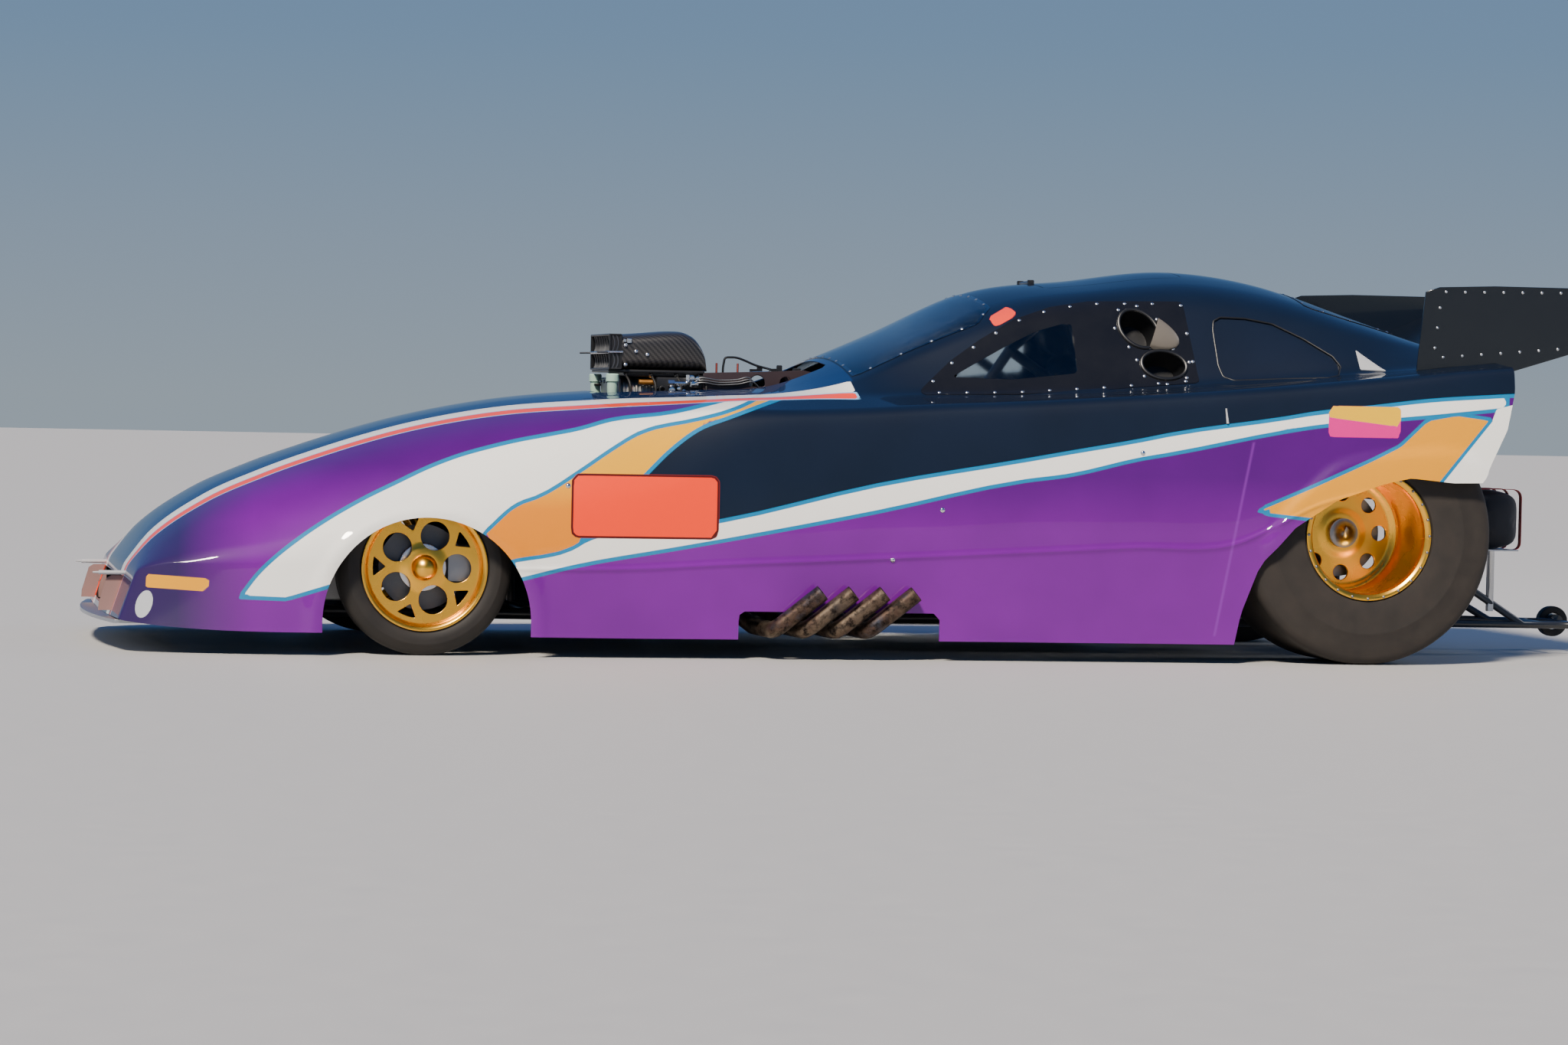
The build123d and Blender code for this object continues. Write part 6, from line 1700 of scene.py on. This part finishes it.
def add_body_details():
    """The wing's bolts, the nose pins and the end flanges of the nose opening."""
    low, high = corners("spill_plates")
    places, normals = [], []
    for s in (-1, 1):
        y = s * high[1]
        loop = walked([(low[0] + 60, low[2] + 70), (low[0] + 85, high[2] - 24), (high[0] - 16, high[2] - 16),
                       (high[0] - 16, low[2] + 120)], 70)
        places.append(np.column_stack([loop[:, 0], np.full(len(loop), y), loop[:, 1]]))
        normals.append(np.tile((0.0, s, 0.0), (len(loop), 1)))
    heads = domes(np.concatenate(places), np.concatenate(normals), 5, 2.6)
    make("wing_bolts", heads, RIVET, "body_shell")
    stays, flanges = [], []
    for s in (-1, 1):
        stay = placed([(-935, 500, 246), (-1026, 500, 246), (-1027, 500, 246), (-1046, 500, 246)], s)
        stays.append(pipe(stay, [7, 7, 4, 3], 16))
        rows = [[(front(x), s * 484 + dy, z) for x, dy in ((a, -3), (-940, -3), (-940, 3), (a, 3))]
                for a, z in ((-1026, 122), (-1024, 147), (-1001, 226), (-985, 236))]
        flanges.append(strip_bar(np.array(rows, float)))
    make("nose_pins", stays, PALE, "body_shell", sharp=35)
    make("nose_flanges", flanges, FLANGE_PAINTED_REFLECTION, "body_shell", sharp=35)


# Soft pieces

# Woven nylon: matt, with crossed threads drawn 3.2 mm apart, coarser than the real ones so that they show
NYLON, tree, shader = drifting("woven nylon pack cloth", {"Roughness": 0.85, "Sheen Weight": 0.25},
                               ((60, 4.0, 0.5), linear("14161C"), linear("23262F")))
place = add(tree, "TexCoord", output="Object")
threads = [add(tree, "TexWave", {"Vector": place, "Scale": 1000 / 3.2 / 2, "Distortion": 0.3}, "Fac",
               bands_direction=way) for way in ("X", "Z")]
both = add(tree, "Math", {0: threads[0], 1: threads[1]}, operation="MULTIPLY")
plug(tree, shader, {"Normal": add(tree, "Bump", {"Height": both, "Strength": 0.4, "Distance": 0.4 * MM})})

# Embossed vinyl: a soft sheen broken by its leather-like grain
VINYL = drifting("quilted black upholstery vinyl", {"Roughness": 0.5, "Sheen Weight": 0.1},
                 ((45, 4.0, 0.5), linear("141416"), linear("222226")), None, ((2.4, 3.0, 0.6), 0.4, 0.25))[0]

# Woven polyester strap: matt and bright, with the weave's ribs across it
WEBBING, tree, shader = drifting("woven polyester webbing", {"Roughness": 0.8, "Sheen Weight": 0.2},
                                 ((25, 3.0, 0.5), linear("B01218"), linear("8C0C12")))
place = add(tree, "TexCoord", output="Object")
ribs = add(tree, "TexWave", {"Vector": place, "Scale": 120.0}, "Fac")
plug(tree, shader, {"Normal": add(tree, "Bump", {"Height": ribs, "Strength": 0.3, "Distance": 0.3 * MM})})


def cushion(centre, wide, long, out, half_w, half_l, thick, seams, count=44):
    """A crowned pad: over u and v from -1 to 1 the height is thick times (1 - u^4)^0.5 (1 - v^4)^0.5, with a
    channel at each seam. Its sides pull in between the corners, and its back is flatter than its front."""
    centre, wide, long, out = (np.asarray(v, float) for v in (centre, wide, long, out))
    g = np.sin(np.linspace(-1, 1, count + 1) * math.pi / 2)
    u, v = np.meshgrid(g, g, indexing="ij")
    rise = np.sqrt(np.clip(1 - u ** 4, 0, 1) * np.clip(1 - v ** 4, 0, 1))
    groove = sum(np.exp(-((v - seam) * half_l / 7) ** 2) for seam in seams) if len(seams) else 0 * u
    across = u * half_w * (1 - 0.035 * (1 - v * v))
    along = v * half_l * (1 - 0.03 * (1 - u * u))
    faces = []
    for height in (thick * rise * (1 - 0.3 * groove), -0.35 * thick * rise):
        faces.append(centre + across[..., None] * wide + along[..., None] * long + height[..., None] * out)
    upper, lower = sheet_of(faces[0]), sheet_of(faces[1], flip=True)
    return facing_out(welded(join(upper, lower)))


def ribbon(path, width, thick, across):
    """A flat strap along a path: each place gives four corners, from the across direction and the strap's
    normal."""
    path, across = np.asarray(path, float), np.asarray(across, float)
    tangent = np.gradient(path, axis=0)
    tangent /= np.linalg.norm(tangent, axis=1)[:, None]
    side = across - tangent * (tangent @ across)[:, None]
    side /= np.linalg.norm(side, axis=1)[:, None]
    up = np.cross(tangent, side)
    edge = [path + side * width / 2 * a + up * thick / 2 * b for a, b in ((-1, -1), (1, -1), (1, 1), (-1, 1))]
    return strip_bar(np.stack(edge, 1))


def puffed(name, shape, pressure=4.0, cap=10, voxel=7.0):
    """The shape swollen as cloth under pressure: remeshed, simulated for 20 frames with no gravity, and
    held within cap millimetres of where it began."""
    points, quads, triangles = shape
    mesh = bpy.data.meshes.new("soft")
    mesh.from_pydata((points * MM).tolist(), [], [list(q) for q in quads] + [list(t) for t in triangles])
    soft = bpy.data.objects.new("soft", mesh)
    bpy.context.scene.collection.objects.link(soft)
    remesh = soft.modifiers.new("even", "REMESH")
    remesh.mode, remesh.voxel_size = "VOXEL", voxel * MM
    soft.data = bpy.data.meshes.new_from_object(soft.evaluated_get(bpy.context.evaluated_depsgraph_get()))
    soft.modifiers.clear()
    cloth = soft.modifiers.new("cloth", "CLOTH")
    cloth.settings.use_pressure, cloth.settings.uniform_pressure_force = True, pressure
    cloth.settings.effector_weights.gravity = 0
    cloth.settings.quality = 5
    count = len(soft.data.vertices)
    start = np.empty(count * 3, np.float32)
    soft.data.vertices.foreach_get("co", start)
    for step in range(1, 21):
        bpy.context.scene.frame_set(step)
    result = soft.evaluated_get(bpy.context.evaluated_depsgraph_get()).to_mesh()
    end = np.empty(count * 3, np.float32)
    result.vertices.foreach_get("co", end)
    move = (end - start).reshape(-1, 3)
    size = np.linalg.norm(move, axis=1)[:, None]
    move *= np.minimum(1, cap * MM / np.maximum(size, 1e-9))
    corner = np.empty(len(soft.data.loops), np.int32)
    soft.data.loops.foreach_get("vertex_index", corner)
    totals = np.empty(len(soft.data.polygons), np.int32)
    soft.data.polygons.foreach_get("loop_total", totals)
    starts = np.concatenate([[0], np.cumsum(totals)[:-1]])
    four, three = starts[totals == 4], starts[totals == 3]
    bpy.context.scene.frame_set(1)
    bpy.data.objects.remove(soft)
    return ((start.reshape(-1, 3) + move).astype(float) / MM, corner[four[:, None] + np.arange(4)],
            corner[three[:, None] + np.arange(3)])


def add_soft():
    """The driver's padded seat with its belts, and the two parachute packs on their tray."""
    seat = [("seat_base", (rear(-830), 0, 377), (0, 1, 0), (1, 0, 0.03), (0, 0, 1), 150, 165, 34,
             (-0.4, 0.1, 0.55)),
            ("seat_back", (rear(-590), 0, 640), (0, 1, 0), (0.235, 0, 0.972), (-0.972, 0, 0.235), 150, 235,
             36, (-0.6, -0.2, 0.2, 0.6))]
    for name, centre, wide, long, out, half_w, half_l, thick, seams in seat:
        shape = puffed(name, cushion(centre, wide, long, out, half_w, half_l, thick, seams), 3.0, 6)
        pad = make(name, shape, VINYL, "chassis", sharp=80)
    low, high = corners("parachute_packs")
    width = (high[1] - low[1]) / 2 - 4
    for side, s in SIDES:
        y0, y1 = (low[1], low[1] + width) if s < 0 else (high[1] - width, high[1])
        pack = pillow_box((low[0] + 8, y0 + 8, low[2] + 6), (high[0] - 8, y1 - 8, high[2] - 8))
        piece = make("parachute_pack_" + side, puffed("pack", pack, 3.0, 10), NYLON, "chassis",
                     ["parachute_packs"] if s < 0 else (), sharp=80)
        y = (y0 + y1) / 2
        straps = []
        for dy in (-0.28, 0.28):
            yy = y + dy * (y1 - y0)
            hoop = [(low[0] + 60, low[2] - 1), (low[0] - 2, low[2] - 1), (low[0] - 2, high[2] + 3),
                    (high[0] + 2, high[2] + 3), (high[0] + 2, low[2] - 1), (high[0] - 60, low[2] - 1)]
            flat = rounded(hoop, 34, 8)
            path = np.column_stack([flat[:, 0], np.full(len(flat), yy), flat[:, 1]])
            straps.append(ribbon(path, 25, 2.2, (0, 1, 0)))
        make("pack_straps_" + side, straps, WEBBING, "chassis", sharp=50)
    straps = []
    for s in (-1, 1):
        over = smooth_path([(rear(-500), s * 70, 905), (rear(-560), s * 78, 900), (rear(-640), s * 82, 800),
                            (rear(-680), s * 70, 600), (rear(-720), s * 30, 470), (rear(-742), s * 8, 430)], 40)
        lap = smooth_path([(rear(-640), s * 158, 420), (rear(-690), s * 120, 440), (rear(-735), s * 60, 436),
                           (rear(-748), s * 10, 430)], 24)
        straps.append(ribbon(over, 44, 2.4, (0, 1, 0)))
        straps.append(ribbon(lap, 44, 2.4, (0.6, 0, 0.8)))
    make("driver_belts", straps, WEBBING, "chassis", sharp=50)


def pillow_box(low, high, count=22):
    """A soft box: a cube grid p blown towards the box whose fifth power mean is even, point = centre + half
    size * p / (|p_x|^5 + |p_y|^5 + |p_z|^5)^(1/5)."""
    low, high = np.asarray(low, float), np.asarray(high, float)
    g = np.linspace(-1, 1, count + 1)
    u, v = np.meshgrid(g, g, indexing="ij")
    faces = []
    for axis in range(3):
        for sign in (-1, 1):
            p = np.zeros(u.shape + (3,))
            p[..., axis], p[..., (axis + 1) % 3], p[..., (axis + 2) % 3] = sign, u, v
            faces.append(sheet_of(p, flip=sign < 0))
    points, quads, triangles = join(*faces)
    size = (np.abs(points) ** 5).sum(1) ** (1 / 5)
    points = points / size[:, None]
    return facing_out(welded(((low + high) / 2 + points * (high - low) / 2, quads, triangles), 0.05))


# CAD pieces that keep their shape and get a finish

DRESSED = [("frame_rails", TUBE, 0), ("roll_cage", TUBE, 0), ("cockpit_tub", SHEET, 0.8),
           ("fuel_tank", SHEET, 5), ("front_axle", TUBE, 0), ("tie_rods", SILVER, 0),
           ("knuckle_left", STEEL, 1), ("knuckle_right", STEEL, 1), ("front_hub_left", DARK_STEEL, 0.8),
           ("front_hub_right", DARK_STEEL, 0.8), ("axle_shaft", STEEL, 0), ("rear_axle_housing", CAST, 3),
           ("driveline", CAST, 2), ("engine_block", CAST, 4), ("cylinder_heads", CAST, 3),
           ("valve_covers", POLISHED, 3), ("intake_manifold", CAST, 3), ("headers_left", SCORCHED, 0),
           ("headers_right", SCORCHED, 0), ("steering_column", BLACK_METAL, 0), ("wheelie_bar", TUBE, 0),
           ("parachute_tray", SHEET, 0.8), ("body_hinge_arms", BLACK_METAL, 1),
           ("front_splitter", SHEET, 2), ("rear_spoiler", GLOSS_BLACK, 2), ("spill_plates", GLOSS_BLACK, 1.2),
           ("driver_seat", TRIM, 6)]


add_windows()
add_panel_trim()
front_wheels()
rear_wheels()
add_hat()
add_blower()
add_engine_dressing()
add_body_details()
add_soft()
for node, material, bevel in DRESSED:
    dressed(node, material, bevel)
